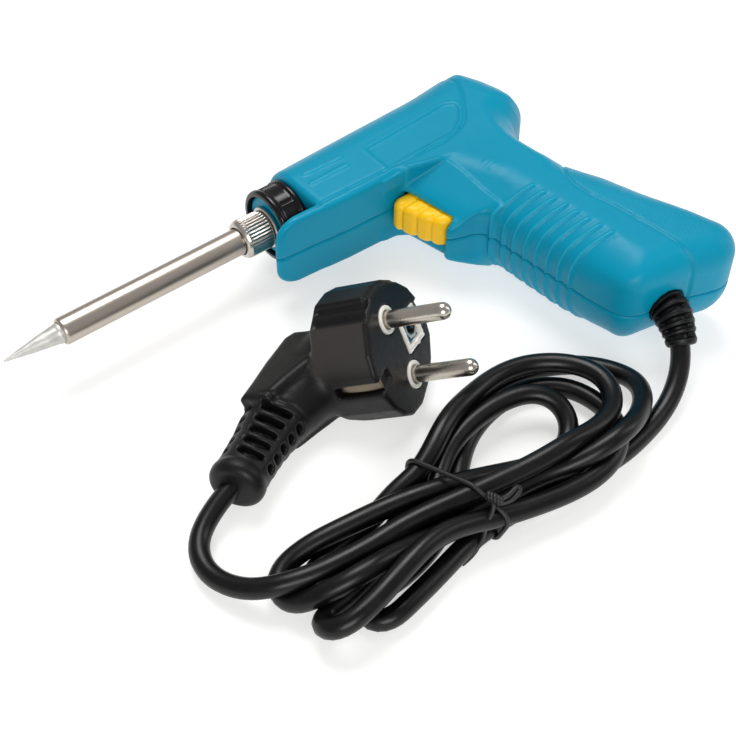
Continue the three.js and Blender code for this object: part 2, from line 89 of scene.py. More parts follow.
def material(name, rgb, rough=0.4, metal=0.0, vary=0.06, vary_scale=60.0, rough_vary=0.06, rough_scale=350.0,
             grain=1400.0, grain_depth=0.00002, grain_strength=0.25, stretch=(1, 1, 1), coat=0.0, spec=0.5,
             waves=None, specks=None, edge_tint_and_painted_highlight=None, mask=None, painted_sheen_tint=None):
    m = bpy.data.materials.new(name)
    m.use_nodes = True
    t = m.node_tree
    t.nodes.clear()
    N, K = t.nodes.new, t.links.new
    out = N("ShaderNodeOutputMaterial")
    b = N("ShaderNodeBsdfPrincipled")
    K(b.outputs[0], out.inputs[0])
    tc = N("ShaderNodeTexCoord")
    mp = N("ShaderNodeMapping")
    mp.inputs["Scale"].default_value = stretch
    K(tc.outputs["Object"], mp.inputs["Vector"])
    base = lin(rgb)

    def noise(scale, detail, vec=mp, rough_=0.55):
        n = N("ShaderNodeTexNoise")
        n.inputs["Scale"].default_value = scale
        n.inputs["Detail"].default_value = detail
        n.inputs["Roughness"].default_value = rough_
        K(vec.outputs[0], n.inputs["Vector"])
        return n

    def tint(k):
        return tuple(min(1.0, max(0.0, v * k)) for v in base) + (1.0,)

    # colour: broad cloudy variation, plus fine speckle
    n1 = noise(vary_scale, 3.0)
    r1 = N("ShaderNodeValToRGB")
    r1.color_ramp.elements[0].position, r1.color_ramp.elements[1].position = 0.3, 0.72
    r1.color_ramp.elements[0].color, r1.color_ramp.elements[1].color = tint(1 - vary), tint(1 + vary)
    K(n1.outputs["Fac"], r1.inputs["Fac"])
    col = r1.outputs["Color"]
    if specks:
        scale, amount, colour = specks
        n2 = noise(scale, 2.0)
        r2 = N("ShaderNodeValToRGB")
        r2.color_ramp.elements[0].position, r2.color_ramp.elements[1].position = 0.56, 0.74
        r2.color_ramp.elements[0].color, r2.color_ramp.elements[1].color = (0, 0, 0, 1), (amount, amount, amount, 1)
        K(n2.outputs["Fac"], r2.inputs["Fac"])
        mx = N("ShaderNodeMix")
        mx.data_type = "RGBA"
        K(r2.outputs["Color"], mx.inputs["Factor"])
        K(col, mx.inputs["A"])
        mx.inputs["B"].default_value = lin(colour) + (1,)
        col = mx.outputs["Result"]
    # painted sheen: colour pulled towards a lighter tint where the mask attribute is high
    if painted_sheen_tint:
        at0 = N("ShaderNodeAttribute")
        at0.attribute_name = mask[0]
        mt = N("ShaderNodeMix")
        mt.data_type = "RGBA"
        K(at0.outputs["Fac"], mt.inputs["Factor"])
        K(col, mt.inputs["A"])
        mt.inputs["B"].default_value = lin(painted_sheen_tint) + (1,)
        col = mt.outputs["Result"]
    if edge_tint_and_painted_highlight:
        # lighter edges: with a named attribute, the painted highlight it marks; without one, lighter where the surface
        # turns sharply outwards
        amount, colour = edge_tint_and_painted_highlight[:2]
        if len(edge_tint_and_painted_highlight) > 2:
            g = N("ShaderNodeAttribute")
            g.attribute_name = edge_tint_and_painted_highlight[2]
            side_out = g.outputs["Fac"]
            lo_, hi_ = 0.2, 0.9
        else:
            g = N("ShaderNodeNewGeometry")
            side_out = g.outputs["Pointiness"]
            lo_, hi_ = 0.53, 0.66
        r3 = N("ShaderNodeValToRGB")
        r3.color_ramp.elements[0].position, r3.color_ramp.elements[1].position = lo_, hi_
        r3.color_ramp.elements[0].color, r3.color_ramp.elements[1].color = (0, 0, 0, 1), (amount, amount, amount, 1)
        K(side_out, r3.inputs["Fac"])
        mx = N("ShaderNodeMix")
        mx.data_type = "RGBA"
        K(r3.outputs["Color"], mx.inputs["Factor"])
        K(col, mx.inputs["A"])
        mx.inputs["B"].default_value = lin(colour) + (1,)
        col = mx.outputs["Result"]
    K(col, b.inputs["Base Color"])
    # roughness
    n3 = noise(rough_scale, 4.0)
    mr = N("ShaderNodeMapRange")
    mr.inputs["From Min"].default_value, mr.inputs["From Max"].default_value = 0.25, 0.75
    mr.inputs["To Min"].default_value = max(0.02, rough - rough_vary)
    mr.inputs["To Max"].default_value = min(1.0, rough + rough_vary)
    K(n3.outputs["Fac"], mr.inputs["Value"])
    K(mr.outputs["Result"], b.inputs["Roughness"])
    # relief: fine grain, optional lay lines
    n4 = noise(grain, 3.0, rough_=0.6)
    bump = N("ShaderNodeBump")
    bump.inputs["Strength"].default_value = grain_strength
    bump.inputs["Distance"].default_value = grain_depth
    height = n4.outputs["Fac"]
    if mask:
        at = N("ShaderNodeAttribute")
        at.attribute_name = mask[0]
        n5 = noise(mask[1], 2.0)
        mu = N("ShaderNodeMath")
        mu.operation = "MULTIPLY"
        K(n5.outputs["Fac"], mu.inputs[0])
        K(at.outputs["Fac"], mu.inputs[1])
        mu2 = N("ShaderNodeMath")
        mu2.operation = "MULTIPLY_ADD"
        K(mu.outputs[0], mu2.inputs[0])
        mu2.inputs[1].default_value = mask[2]
        K(height, mu2.inputs[2])
        height = mu2.outputs[0]
    K(height, bump.inputs["Height"])
    last = bump
    if waves:
        scale, direction, depth = waves
        w = N("ShaderNodeTexWave")
        w.wave_type = "BANDS"
        w.bands_direction = direction
        w.inputs["Scale"].default_value = scale
        w.inputs["Distortion"].default_value = 1.5
        w.inputs["Detail"].default_value = 2.0
        K(tc.outputs["Object"], w.inputs["Vector"])
        b2 = N("ShaderNodeBump")
        b2.inputs["Strength"].default_value = 0.3
        b2.inputs["Distance"].default_value = depth
        K(w.outputs["Fac"], b2.inputs["Height"])
        K(bump.outputs["Normal"], b2.inputs["Normal"])
        last = b2
    K(last.outputs["Normal"], b.inputs["Normal"])
    b.inputs["Metallic"].default_value = metal
    b.inputs["Specular IOR Level"].default_value = spec
    if coat:
        b.inputs["Coat Weight"].default_value = coat
        b.inputs["Coat Roughness"].default_value = 0.18
    return m


M = {}
# the lighter colour the housing gets on rib crests, bars and the guard lip is painted highlight
M["blue"] = material("housing_blue_plastic", (0, 137, 168), rough=0.36, vary=0.03, vary_scale=25, rough_vary=0.05, spec=0.16,
                     grain=1500, grain_depth=0.00008, grain_strength=0.35, edge_tint_and_painted_highlight=(0.5, (50, 176, 204), "painted_highlight"), mask=("pad", 1700, 7.0))
M["yellow"] = material("trigger_yellow_plastic", (246, 192, 20), rough=0.36, vary=0.05, vary_scale=90, rough_vary=0.05,
                       grain=900, grain_depth=0.00005, grain_strength=0.2, edge_tint_and_painted_highlight=(0.45, (252, 216, 96)), spec=0.25)
M["cord"] = material("cord_black_sheath", (8, 8, 8), rough=0.33, vary=0.25, vary_scale=120, rough_vary=0.07, rough_scale=160,
                     grain=700, grain_depth=0.00006, grain_strength=0.3, specks=(500, 0.3, (20, 20, 21)), spec=0.3)
# the plug's lighter grey facet from the pad mask is painted sheen; the same mask also roughens its texture
M["plug"] = material("plug_moulded_black", (7, 7, 8), rough=0.42, vary=0.2, vary_scale=70, rough_vary=0.07,
                     grain=1300, grain_depth=0.0001, grain_strength=0.5, specks=(1500, 0.5, (24, 24, 24)),
                     edge_tint_and_painted_highlight=(0.3, (36, 36, 38)), mask=("pad", 1500, 3.0), painted_sheen_tint=(62, 59, 57), spec=0.24)
M["relief"] = material("relief_matt_black", (9, 10, 12), rough=0.42, vary=0.2, vary_scale=90, rough_vary=0.06,
                       grain=1200, grain_depth=0.00006, grain_strength=0.4, edge_tint_and_painted_highlight=(0.4, (44, 46, 50)), spec=0.28)
M["ring"] = material("ring_gloss_black", (6, 6, 7), spec=0.35, rough=0.2, vary=0.2, vary_scale=100, rough_vary=0.05,
                     grain=700, grain_depth=0.00003, grain_strength=0.2, edge_tint_and_painted_highlight=(0.3, (50, 50, 54)))
M["nickel"] = material("nickel_plate", (196, 190, 182), rough=0.3, metal=1.0, vary=0.05, vary_scale=150, rough_vary=0.04,
                       grain=900, grain_depth=0.000006, grain_strength=0.12)
M["tube"] = material("tube_turned_nickel", (186, 176, 166), rough=0.33, metal=1.0, vary=0.03, vary_scale=14, rough_vary=0.03,
                     rough_scale=60, grain=700, grain_depth=0.000006, grain_strength=0.2, stretch=(1, 0.15, 0.15))
M["pin"] = material("pin_nickel", (206, 198, 187), rough=0.24, metal=1.0, vary=0.06, vary_scale=120, rough_vary=0.05,
                    rough_scale=500, grain=500, grain_depth=0.00004, grain_strength=0.3)
M["tin"] = material("tinned_tip", (198, 197, 192), rough=0.5, metal=0.7, vary=0.12, vary_scale=220, rough_vary=0.1,
                    rough_scale=500, grain=500, grain_depth=0.00012, grain_strength=0.5)
M["steel"] = material("steel_screws", (168, 168, 165), rough=0.3, metal=1.0, vary=0.1, vary_scale=300)
M["white"] = material("insulator_white", (222, 220, 212), rough=0.45, vary=0.05, vary_scale=300, grain=1200,
                      grain_depth=0.00005)
M["ceramic"] = material("heater_ceramic", (225, 214, 196), rough=0.6, vary=0.08, vary_scale=400)
M["copper"] = material("copper_contact", (190, 120, 80), rough=0.3, metal=1.0, vary=0.1, vary_scale=300)
M["switch"] = material("switch_body_plastic", (44, 44, 46), rough=0.5, vary=0.1, vary_scale=300)
M["brown"] = material("core_brown_pvc", (96, 58, 36), rough=0.45, vary=0.1, vary_scale=300)
M["bluecore"] = material("core_blue_pvc", (40, 86, 160), rough=0.45, vary=0.1, vary_scale=300)
M["green"] = material("core_green_yellow_pvc", (96, 150, 50), rough=0.45, vary=0.1, vary_scale=300,
                      specks=(160, 0.9, (225, 205, 50)))
M["tie"] = material("tie_wire_black", (20, 20, 21), rough=0.5, vary=0.2, vary_scale=300, grain=900, grain_depth=0.00005)
M["clip"] = material("clip_dull_nickel", (128, 118, 102), rough=0.34, metal=1.0, vary=0.1, vary_scale=200)
M["teal"] = material("socket_liner_blue", (14, 96, 124), rough=0.5, vary=0.1, vary_scale=300)
SLOT_OF = {"housing_blue": "blue", "trigger_yellow": "yellow", "black_plastic": "relief", "gloss_black": "ring",
           "cord_black": "cord", "plug_black": "plug", "nickel": "nickel", "pin_nickel": "pin", "steel": "steel",
           "tinned": "tin", "white_plastic": "white", "ceramic": "ceramic", "copper": "copper",
           "switch_plastic": "switch", "brown_pvc": "brown", "blue_pvc": "bluecore", "green_yellow_pvc": "green"}


# ------------------------------------------------------------------ mesh helpers
def piece(name, verts, faces, mat, body, nodes=(), smooth=True, sharp=None, attrs=None):
    """verts in metres, row frame."""
    me = bpy.data.meshes.new(name)
    verts = np.asarray(verts, np.float64)
    if isinstance(faces, np.ndarray):
        me.vertices.add(len(verts))
        me.vertices.foreach_set("co", verts.astype(np.float32).ravel())
        nf, w = faces.shape
        me.loops.add(nf * w)
        me.loops.foreach_set("vertex_index", faces.astype(np.int32).ravel())
        me.polygons.add(nf)
        me.polygons.foreach_set("loop_start", np.arange(0, nf * w, w, dtype=np.int32))
        me.polygons.foreach_set("loop_total", np.full(nf, w, np.int32))
        me.update(calc_edges=True)
    else:
        me.from_pydata([tuple(v) for v in verts], [], faces)
        me.update(calc_edges=True)
    me.validate()
    co = np.zeros(len(me.vertices) * 3)
    me.vertices.foreach_get("co", co)
    co = co.reshape(-1, 3) - co.reshape(-1, 3).mean(0)
    me.calc_loop_triangles()
    tr = np.zeros(len(me.loop_triangles) * 3, np.int32)
    me.loop_triangles.foreach_get("vertices", tr)
    tr = co[tr.reshape(-1, 3)]
    if np.einsum("ij,ij->i", tr[:, 0], np.cross(tr[:, 1], tr[:, 2])).sum() < 0:
        me.flip_normals()
    if attrs:
        for k, v in attrs.items():
            a = me.attributes.new(k, "FLOAT", "POINT")
            a.data.foreach_set("value", np.asarray(v, np.float32))
    if smooth:
        me.polygons.foreach_set("use_smooth", np.ones(len(me.polygons), bool))
    if sharp:
        me.set_sharp_from_angle(angle=math.radians(sharp))
    me.materials.append(M[mat])
    o = bpy.data.objects.new(name, me)
    bpy.context.scene.collection.objects.link(o)
    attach(o, body)
    if nodes:
        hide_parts(*nodes)
    return o


def lathe(profile, seg, mod=None):
    """Closed turned body about the barrel's axis from (x, r) points in plan mm. mod(i_ring, x, r, angles) gives the radii.
    A profile that starts and ends on the axis is capped there, one that starts where it ends is a ring."""
    prof = [tuple(p) for p in profile]
    ring = prof[0] == prof[-1]
    if ring:
        prof = prof[:-1]
    ang = np.linspace(0, 2 * math.pi, seg, endpoint=False)
    V, rows = [], []
    for i, (x, r) in enumerate(prof):
        if r < 1e-6:
            rows.append([len(V)])
            V.append((x, 0, MZ))
            continue
        rr = np.full(seg, float(r)) if mod is None else mod(i, x, r, ang)
        rows.append(list(range(len(V), len(V) + seg)))
        for a, q in zip(ang, rr):
            V.append((x, q * math.cos(a), MZ + q * math.sin(a)))
    F = []
    n = len(rows)
    for i in range(n if ring else n - 1):
        A, B = rows[i], rows[(i + 1) % n]
        for j in range(seg):
            k = (j + 1) % seg
            if len(A) == 1:
                F.append((A[0], B[j], B[k]))
            elif len(B) == 1:
                F.append((A[j], B[0], A[k]))
            else:
                F.append((A[j], B[j], B[k], A[k]))
    # cos->Y, sin->Z about +X: the profile runs from -X to +X on the outside
    return P(V), [f[::-1] for f in F]


def frames(path):
    """Tangents and a twist-free pair of normals along a path."""
    T = np.gradient(path, axis=0)
    T /= np.linalg.norm(T, axis=1)[:, None]
    n = np.cross(T[0], (0, 0, 1.0))
    if np.linalg.norm(n) < 0.1:
        n = np.cross(T[0], (1.0, 0, 0))
    n /= np.linalg.norm(n)
    Ns = [n]
    for i in range(1, len(path)):
        n = Ns[-1] - T[i] * (Ns[-1] @ T[i])
        n /= np.linalg.norm(n)
        Ns.append(n)
    Ns = np.array(Ns)
    return T, Ns, np.cross(T, Ns)


def smooth_path(pts, step):
    """Centripetal-like cubic through the points, resampled at an even step."""
    pts = np.asarray(pts, float)
    e = np.vstack([2 * pts[0] - pts[1], pts, 2 * pts[-1] - pts[-2]])
    out = []
    for i in range(1, len(e) - 2):
        a, b, c, d = e[i - 1], e[i], e[i + 1], e[i + 2]
        for t in np.linspace(0, 1, 12, endpoint=False):
            out.append(0.5 * (2 * b + (c - a) * t + (2 * a - 5 * b + 4 * c - d) * t * t + (3 * b - a - 3 * c + d) * t ** 3))
    out.append(pts[-1])
    out = np.array(out)
    s = np.r_[0, np.cumsum(np.linalg.norm(np.diff(out, axis=0), axis=1))]
    n = max(4, int(round(s[-1] / step)))
    q = np.linspace(0, s[-1], n + 1)
    return np.column_stack([np.interp(q, s, out[:, k]) for k in range(3)])


def tube(path, radius, seg, cap=True):
    """Swept tube; radius is a number, an array along the path, or an array (along, around). Returns mm verts and faces."""
    T, A, B = frames(path)
    n = len(path)
    R = np.asarray(radius, float)
    if R.ndim == 0:
        R = np.full((n, seg), float(R))
    elif R.ndim == 1:
        R = np.repeat(R[:, None], seg, 1)
    ang = np.linspace(0, 2 * math.pi, seg, endpoint=False)
    V = path[:, None, :] + R[:, :, None] * (np.cos(ang)[None, :, None] * A[:, None, :] + np.sin(ang)[None, :, None] * B[:, None, :])
    V = V.reshape(-1, 3)
    i, j = np.meshgrid(np.arange(n - 1), np.arange(seg), indexing="ij")
    a = i * seg + j
    b = i * seg + (j + 1) % seg
    c = (i + 1) * seg + (j + 1) % seg
    d = (i + 1) * seg + j
    F = np.stack([a, b, c, d], -1).reshape(-1, 4).tolist()
    if cap:
        V = np.vstack([V, path[0], path[-1]])
        m = n * seg
        for j in range(seg):
            k = (j + 1) % seg
            F.append([m, k, j])
            F.append([m + 1, (n - 1) * seg + j, (n - 1) * seg + k])
    return V, F


# ------------------------------------------------------------------ cord
# Centreline of the lead, strain relief end first, in plan mm (x, y, z).
ROUTE = """77.10,-96.00,17.00 75.99,-98.71,15.95 75.00,-101.32,14.51 73.90,-103.80,12.85 72.47,-106.08,11.16 70.67,-108.11,9.52 68.54,-109.90,8.00 66.16,-111.46,6.64
63.57,-112.80,5.49 60.81,-113.94,4.59 57.92,-114.89,3.92 54.94,-115.68,3.44 51.89,-116.34,3.12 48.80,-116.89,2.93 45.68,-117.36,2.82 42.54,-117.74,2.77
39.38,-117.97,2.76 36.20,-118.00,2.76 33.01,-117.90,2.76 29.83,-117.72,2.76 26.66,-117.44,2.76 23.49,-117.06,2.76 20.32,-116.61,2.76 17.15,-116.11,2.76
13.99,-115.60,2.76 10.82,-115.11,2.76 7.63,-114.70,2.76 4.44,-114.39,2.76 1.24,-114.17,2.80 -1.98,-114.06,2.88 -5.20,-114.08,3.01 -8.42,-114.26,3.16
-11.64,-114.65,3.30 -14.84,-115.22,3.43 -18.04,-115.91,3.57 -21.24,-116.65,3.73 -24.45,-117.38,3.91 -27.66,-118.07,4.09 -30.84,-118.70,4.25 -33.95,-119.26,4.35
-36.94,-119.75,4.38 -39.78,-119.94,4.24 -42.27,-119.35,3.86 -44.03,-117.82,3.36 -44.65,-115.72,2.97 -43.87,-113.63,2.80 -42.03,-112.11,2.76 -39.59,-111.51,2.76
-36.87,-111.57,2.76 -34.05,-111.73,2.76 -31.13,-111.67,2.76 -28.13,-111.36,2.76 -25.10,-110.84,2.76 -22.06,-110.10,2.76 -19.06,-109.15,2.76 -16.11,-108.00,2.76
-13.22,-106.66,2.76 -10.42,-105.12,2.76 -7.73,-103.40,2.76 -5.16,-101.49,2.76 -2.69,-99.44,2.76 -0.31,-97.29,2.76 2.07,-95.15,2.76 4.51,-93.10,2.76
7.06,-91.20,2.76 9.73,-89.50,2.76 12.55,-88.05,2.76 15.49,-86.88,2.77 18.52,-85.96,2.77 21.62,-85.30,2.78 24.75,-84.94,2.81 27.89,-84.89,2.87
30.98,-85.19,2.96 33.99,-85.88,3.08 36.82,-87.00,3.23 39.41,-88.57,3.38 41.65,-90.58,3.52 43.46,-93.00,3.64 44.75,-95.76,3.73 45.52,-98.73,3.85
45.76,-101.80,4.06 45.49,-104.86,4.39 44.72,-107.79,4.87 43.52,-110.52,5.53 41.93,-112.96,6.35 40.04,-115.13,7.18 37.89,-117.05,7.74 35.51,-118.67,7.93
32.90,-119.91,7.84 30.09,-120.78,7.67 27.10,-121.29,7.55 23.99,-121.48,7.54 20.81,-121.40,7.59 17.60,-121.10,7.68 14.37,-120.63,7.79 11.14,-120.02,7.95
7.91,-119.32,8.16 4.67,-118.58,8.41 1.43,-117.81,8.72 -1.82,-116.99,9.14 -5.06,-116.12,9.68 -8.30,-115.26,10.34 -11.56,-114.51,11.08 -14.83,-113.94,11.82
-18.11,-113.64,12.48 -21.38,-113.63,13.02 -24.60,-113.92,13.38 -27.75,-114.44,13.53 -30.83,-115.07,13.47 -33.85,-115.69,13.23 -36.84,-116.27,12.88 -39.81,-116.84,12.49
-42.77,-117.38,12.09 -45.73,-117.78,11.64 -48.65,-117.98,11.13 -51.44,-117.85,10.50 -53.88,-117.15,9.64 -55.56,-115.71,8.50 -56.15,-113.76,7.29 -55.44,-111.91,6.25
-53.60,-110.67,5.53 -51.21,-110.19,5.42 -48.68,-110.27,5.99 -46.13,-110.38,6.80 -43.52,-110.23,7.42 -40.83,-109.81,7.63 -38.10,-109.20,7.45 -35.34,-108.49,6.98
-32.51,-107.74,6.40 -29.62,-106.96,5.80 -26.69,-106.11,5.26 -23.75,-105.17,4.79 -20.84,-104.11,4.46 -17.97,-102.92,4.27 -15.17,-101.59,4.23 -12.47,-100.10,4.34
-9.87,-98.46,4.62 -7.35,-96.73,5.03 -4.86,-94.95,5.53 -2.31,-93.22,6.09 0.39,-91.69,6.68 3.29,-90.45,7.27 6.38,-89.53,7.76 9.58,-88.87,8.11
12.86,-88.43,8.37 16.16,-88.23,8.59 19.44,-88.29,8.79 22.67,-88.63,8.95 25.77,-89.28,9.06 28.68,-90.31,9.10 31.26,-91.81,8.97 33.28,-93.82,8.56
34.54,-96.24,7.82 34.96,-98.85,6.86 34.49,-101.37,5.82 33.22,-103.63,4.86 31.33,-105.47,4.09 28.96,-106.79,3.57 26.24,-107.55,3.33 23.32,-107.79,3.37
20.30,-107.63,3.65 17.27,-107.22,4.13 14.24,-106.64,4.77 11.24,-105.98,5.50 8.26,-105.30,6.28 5.27,-104.59,7.05 2.27,-103.84,7.77 -0.76,-103.05,8.41
-3.82,-102.24,8.95 -6.90,-101.41,9.36 -10.00,-100.57,9.65 -13.12,-99.70,9.77 -16.24,-98.84,9.77 -19.37,-98.00,9.67 -22.51,-97.21,9.51 -25.65,-96.48,9.29
-28.80,-95.80,9.01 -31.96,-95.16,8.72 -35.12,-94.53,8.41 -38.28,-93.90,8.07 -41.41,-93.28,7.62 -44.47,-92.73,6.98 -47.44,-92.35,6.17 -50.30,-92.26,5.35
-52.98,-92.72,4.65 -55.28,-93.94,4.12 -56.89,-95.95,3.81 -57.59,-98.46,3.91 -57.41,-101.07,4.60 -56.45,-103.41,5.88 -54.87,-105.34,7.56 -52.81,-106.95,9.27
-50.37,-108.33,10.76 -47.63,-109.39,11.97 -44.65,-110.09,12.76 -41.46,-110.43,13.02 -38.15,-110.49,12.77 -34.78,-110.36,12.11 -31.39,-110.19,11.21 -27.97,-110.07,10.26
-24.53,-110.00,9.40 -21.09,-109.98,8.71 -17.65,-109.98,8.19 -14.23,-110.04,7.82 -10.85,-110.17,7.56 -7.50,-110.35,7.40 -4.20,-110.57,7.34 -0.92,-110.82,7.34
2.32,-111.12,7.37 5.53,-111.45,7.44 8.71,-111.85,7.57 11.83,-112.37,7.78 14.90,-113.09,8.10 17.86,-114.05,8.55 20.72,-115.20,9.20 23.47,-116.38,10.12
26.19,-117.40,11.20 28.97,-118.14,12.21 31.83,-118.56,12.96 34.78,-118.63,13.32 37.78,-118.32,13.22 40.75,-117.63,12.67 43.66,-116.61,11.83 46.49,-115.33,10.89
49.21,-113.80,9.94 51.75,-112.02,9.02 54.03,-109.98,8.14 55.92,-107.65,7.33 57.24,-105.02,6.56 57.85,-102.15,5.81 57.76,-99.18,5.10 57.06,-96.22,4.49
55.88,-93.37,3.98 54.26,-90.71,3.58 52.27,-88.29,3.27 49.97,-86.13,3.04 47.42,-84.26,2.88 44.68,-82.65,2.79 41.79,-81.32,2.76 38.79,-80.26,2.76
35.70,-79.48,2.76 32.56,-79.00,2.76 29.39,-78.81,2.76 26.21,-78.89,2.76 23.05,-79.23,2.76 19.93,-79.80,2.76 16.84,-80.56,2.76 13.79,-81.50,2.76
10.79,-82.59,2.76 7.82,-83.78,2.76 4.87,-85.03,2.76 1.94,-86.31,2.76 -0.97,-87.62,2.76 -3.85,-89.00,2.76 -6.67,-90.51,2.76 -9.43,-92.11,2.76
-12.17,-93.75,2.76 -14.93,-95.35,2.76 -17.73,-96.84,2.76 -20.58,-98.20,2.76 -23.46,-99.46,2.76 -26.35,-100.67,2.76 -29.21,-101.84,2.76 -32.04,-103.01,2.76
-34.82,-104.11,2.76 -37.55,-105.04,2.76 -40.27,-105.65,2.76 -42.96,-106.00,2.76 -45.51,-105.89,2.76 -47.63,-104.88,2.76 -49.01,-103.02,2.76 -49.31,-100.75,2.76
-48.49,-98.57,2.76 -46.66,-97.01,2.76 -44.20,-96.15,2.76 -41.54,-95.70,2.76 -38.82,-95.37,2.76 -36.06,-95.11,2.79 -33.27,-94.88,2.94 -30.48,-94.62,3.25
-27.71,-94.32,3.74 -24.97,-93.96,4.43 -22.27,-93.58,5.31 -19.55,-93.27,6.29 -16.76,-93.08,7.22 -13.87,-92.97,8.01 -10.95,-92.71,8.75 -8.07,-92.11,9.56
-5.26,-91.16,10.43 -2.47,-89.95,11.20 0.34,-88.59,11.76 3.24,-87.20,12.04 6.26,-85.86,12.00 9.39,-84.66,11.70 12.63,-83.64,11.25 15.93,-82.78,10.76
19.26,-82.07,10.33 22.60,-81.54,9.98 25.93,-81.25,9.71 29.23,-81.28,9.50 32.46,-81.68,9.35 35.58,-82.50,9.25 38.53,-83.75,9.19 41.25,-85.41,9.19
43.69,-87.45,9.26 45.77,-89.80,9.39 47.42,-92.44,9.57 48.52,-95.30,9.76 48.95,-98.28,9.91 48.62,-101.23,10.02 47.56,-103.99,10.13 45.87,-106.43,10.34
43.72,-108.48,10.68 41.22,-110.14,11.15 38.45,-111.39,11.67 35.45,-112.23,12.20 32.28,-112.66,12.71 28.98,-112.74,13.19 25.60,-112.66,13.59 22.20,-112.56,13.81
18.82,-112.39,13.79 15.52,-112.10,13.61 12.29,-111.69,13.37 9.13,-111.20,13.15 6.02,-110.66,12.99 2.94,-110.09,12.86 -0.12,-109.54,12.75 -3.19,-109.00,12.66
-6.26,-108.45,12.59 -9.33,-107.88,12.54 -12.40,-107.30,12.50 -15.45,-106.71,12.43 -18.50,-106.12,12.28 -21.55,-105.56,12.05 -24.61,-105.07,11.76 -27.69,-104.70,11.44
-30.81,-104.45,11.15 -33.95,-104.21,10.92 -37.10,-103.91,10.75 -40.27,-103.54,10.62 -43.44,-103.10,10.48 -46.59,-102.55,10.32 -49.69,-101.84,10.12 -52.71,-100.92,9.86
-55.61,-99.77,9.50 -58.30,-98.34,8.90 -60.68,-96.57,8.00 -62.69,-94.44,6.92 -64.37,-91.98,5.87 -65.73,-89.24,4.96 -66.75,-86.28,4.26 -67.33,-83.20,3.78
-67.34,-80.08,3.54 -66.70,-77.07,3.55 -65.38,-74.33,3.79 -63.40,-72.02,4.22 -60.90,-70.20,4.80 -58.10,-68.81,5.50 -55.17,-67.73,6.29 -52.17,-66.91,7.11
-49.13,-66.26,7.86 -47.60,-65.95,8.20"""
CORD_D = 5.5
route = smooth_path([[float(v) for v in p.split(",")] for p in ROUTE.split()], 1.5)
_v, _f = tube(route, CORD_D / 2, 20)
cord = piece("mains_lead", P(_v), _f, "cord", "housing", ("cord_from_iron", "cord_hank", "cord_from_plug"))


# ------------------------------------------------------------------ distance fields
def ss(a, b, x):
    t = np.clip((x - a) / (b - a), 0, 1)
    return t * t * (3 - 2 * t)


def mix(a, b, t):
    return a * (1 - t) + b * t


def smin(a, b, k):
    h = np.maximum(k - np.abs(a - b), 0) / k
    return np.minimum(a, b) - h * h * k * 0.25


def smax(a, b, k):
    return -smin(-a, -b, k)


def poly_sd(X, Y, poly):
    """Signed distance to a closed polygon, negative inside."""
    d = np.full(np.broadcast(X, Y).shape, 1e9)
    odd = np.zeros(d.shape, bool)
    n = len(poly)
    for i in range(n):
        ax, ay = poly[i]
        bx, by = poly[(i + 1) % n]
        ex, ey = bx - ax, by - ay
        wx, wy = X - ax, Y - ay
        t = np.clip((wx * ex + wy * ey) / (ex * ex + ey * ey + 1e-12), 0, 1)
        d = np.minimum(d, (wx - ex * t) ** 2 + (wy - ey * t) ** 2)
        if ay != by:
            c = ((ay > Y) != (by > Y)) & (X < (bx - ax) * (Y - ay) / (by - ay) + ax)
            odd ^= c
    return np.sqrt(d) * np.where(odd, -1, 1)


def line_d(X, Y, pts):
    """Distance to an open polyline."""
    d = np.full(np.broadcast(X, Y).shape, 1e9)
    for (ax, ay), (bx, by) in zip(pts, pts[1:]):
        ex, ey = bx - ax, by - ay
        wx, wy = X - ax, Y - ay
        t = np.clip((wx * ex + wy * ey) / (ex * ex + ey * ey + 1e-12), 0, 1)
        d = np.minimum(d, (wx - ex * t) ** 2 + (wy - ey * t) ** 2)
    return np.sqrt(d)


def extrude(d2, dz, H, r):
    """Outline d2 and half thickness H, with an edge radius r."""
    qx, qz = d2 + r, dz - H + r
    return np.minimum(np.maximum(qx, qz), 0) + np.sqrt(np.maximum(qx, 0) ** 2 + np.maximum(qz, 0) ** 2) - r


def box(X, Y, Z, x0, x1, y0, y1, z0, z1, r=0.0):
    qx = np.abs(X - (x0 + x1) / 2) - (x1 - x0) / 2 + r
    qy = np.abs(Y - (y0 + y1) / 2) - (y1 - y0) / 2 + r
    qz = np.abs(Z - (z0 + z1) / 2) - (z1 - z0) / 2 + r
    return np.minimum(np.maximum(np.maximum(qx, qy), qz), 0) + np.sqrt(
        np.maximum(qx, 0) ** 2 + np.maximum(qy, 0) ** 2 + np.maximum(qz, 0) ** 2) - r


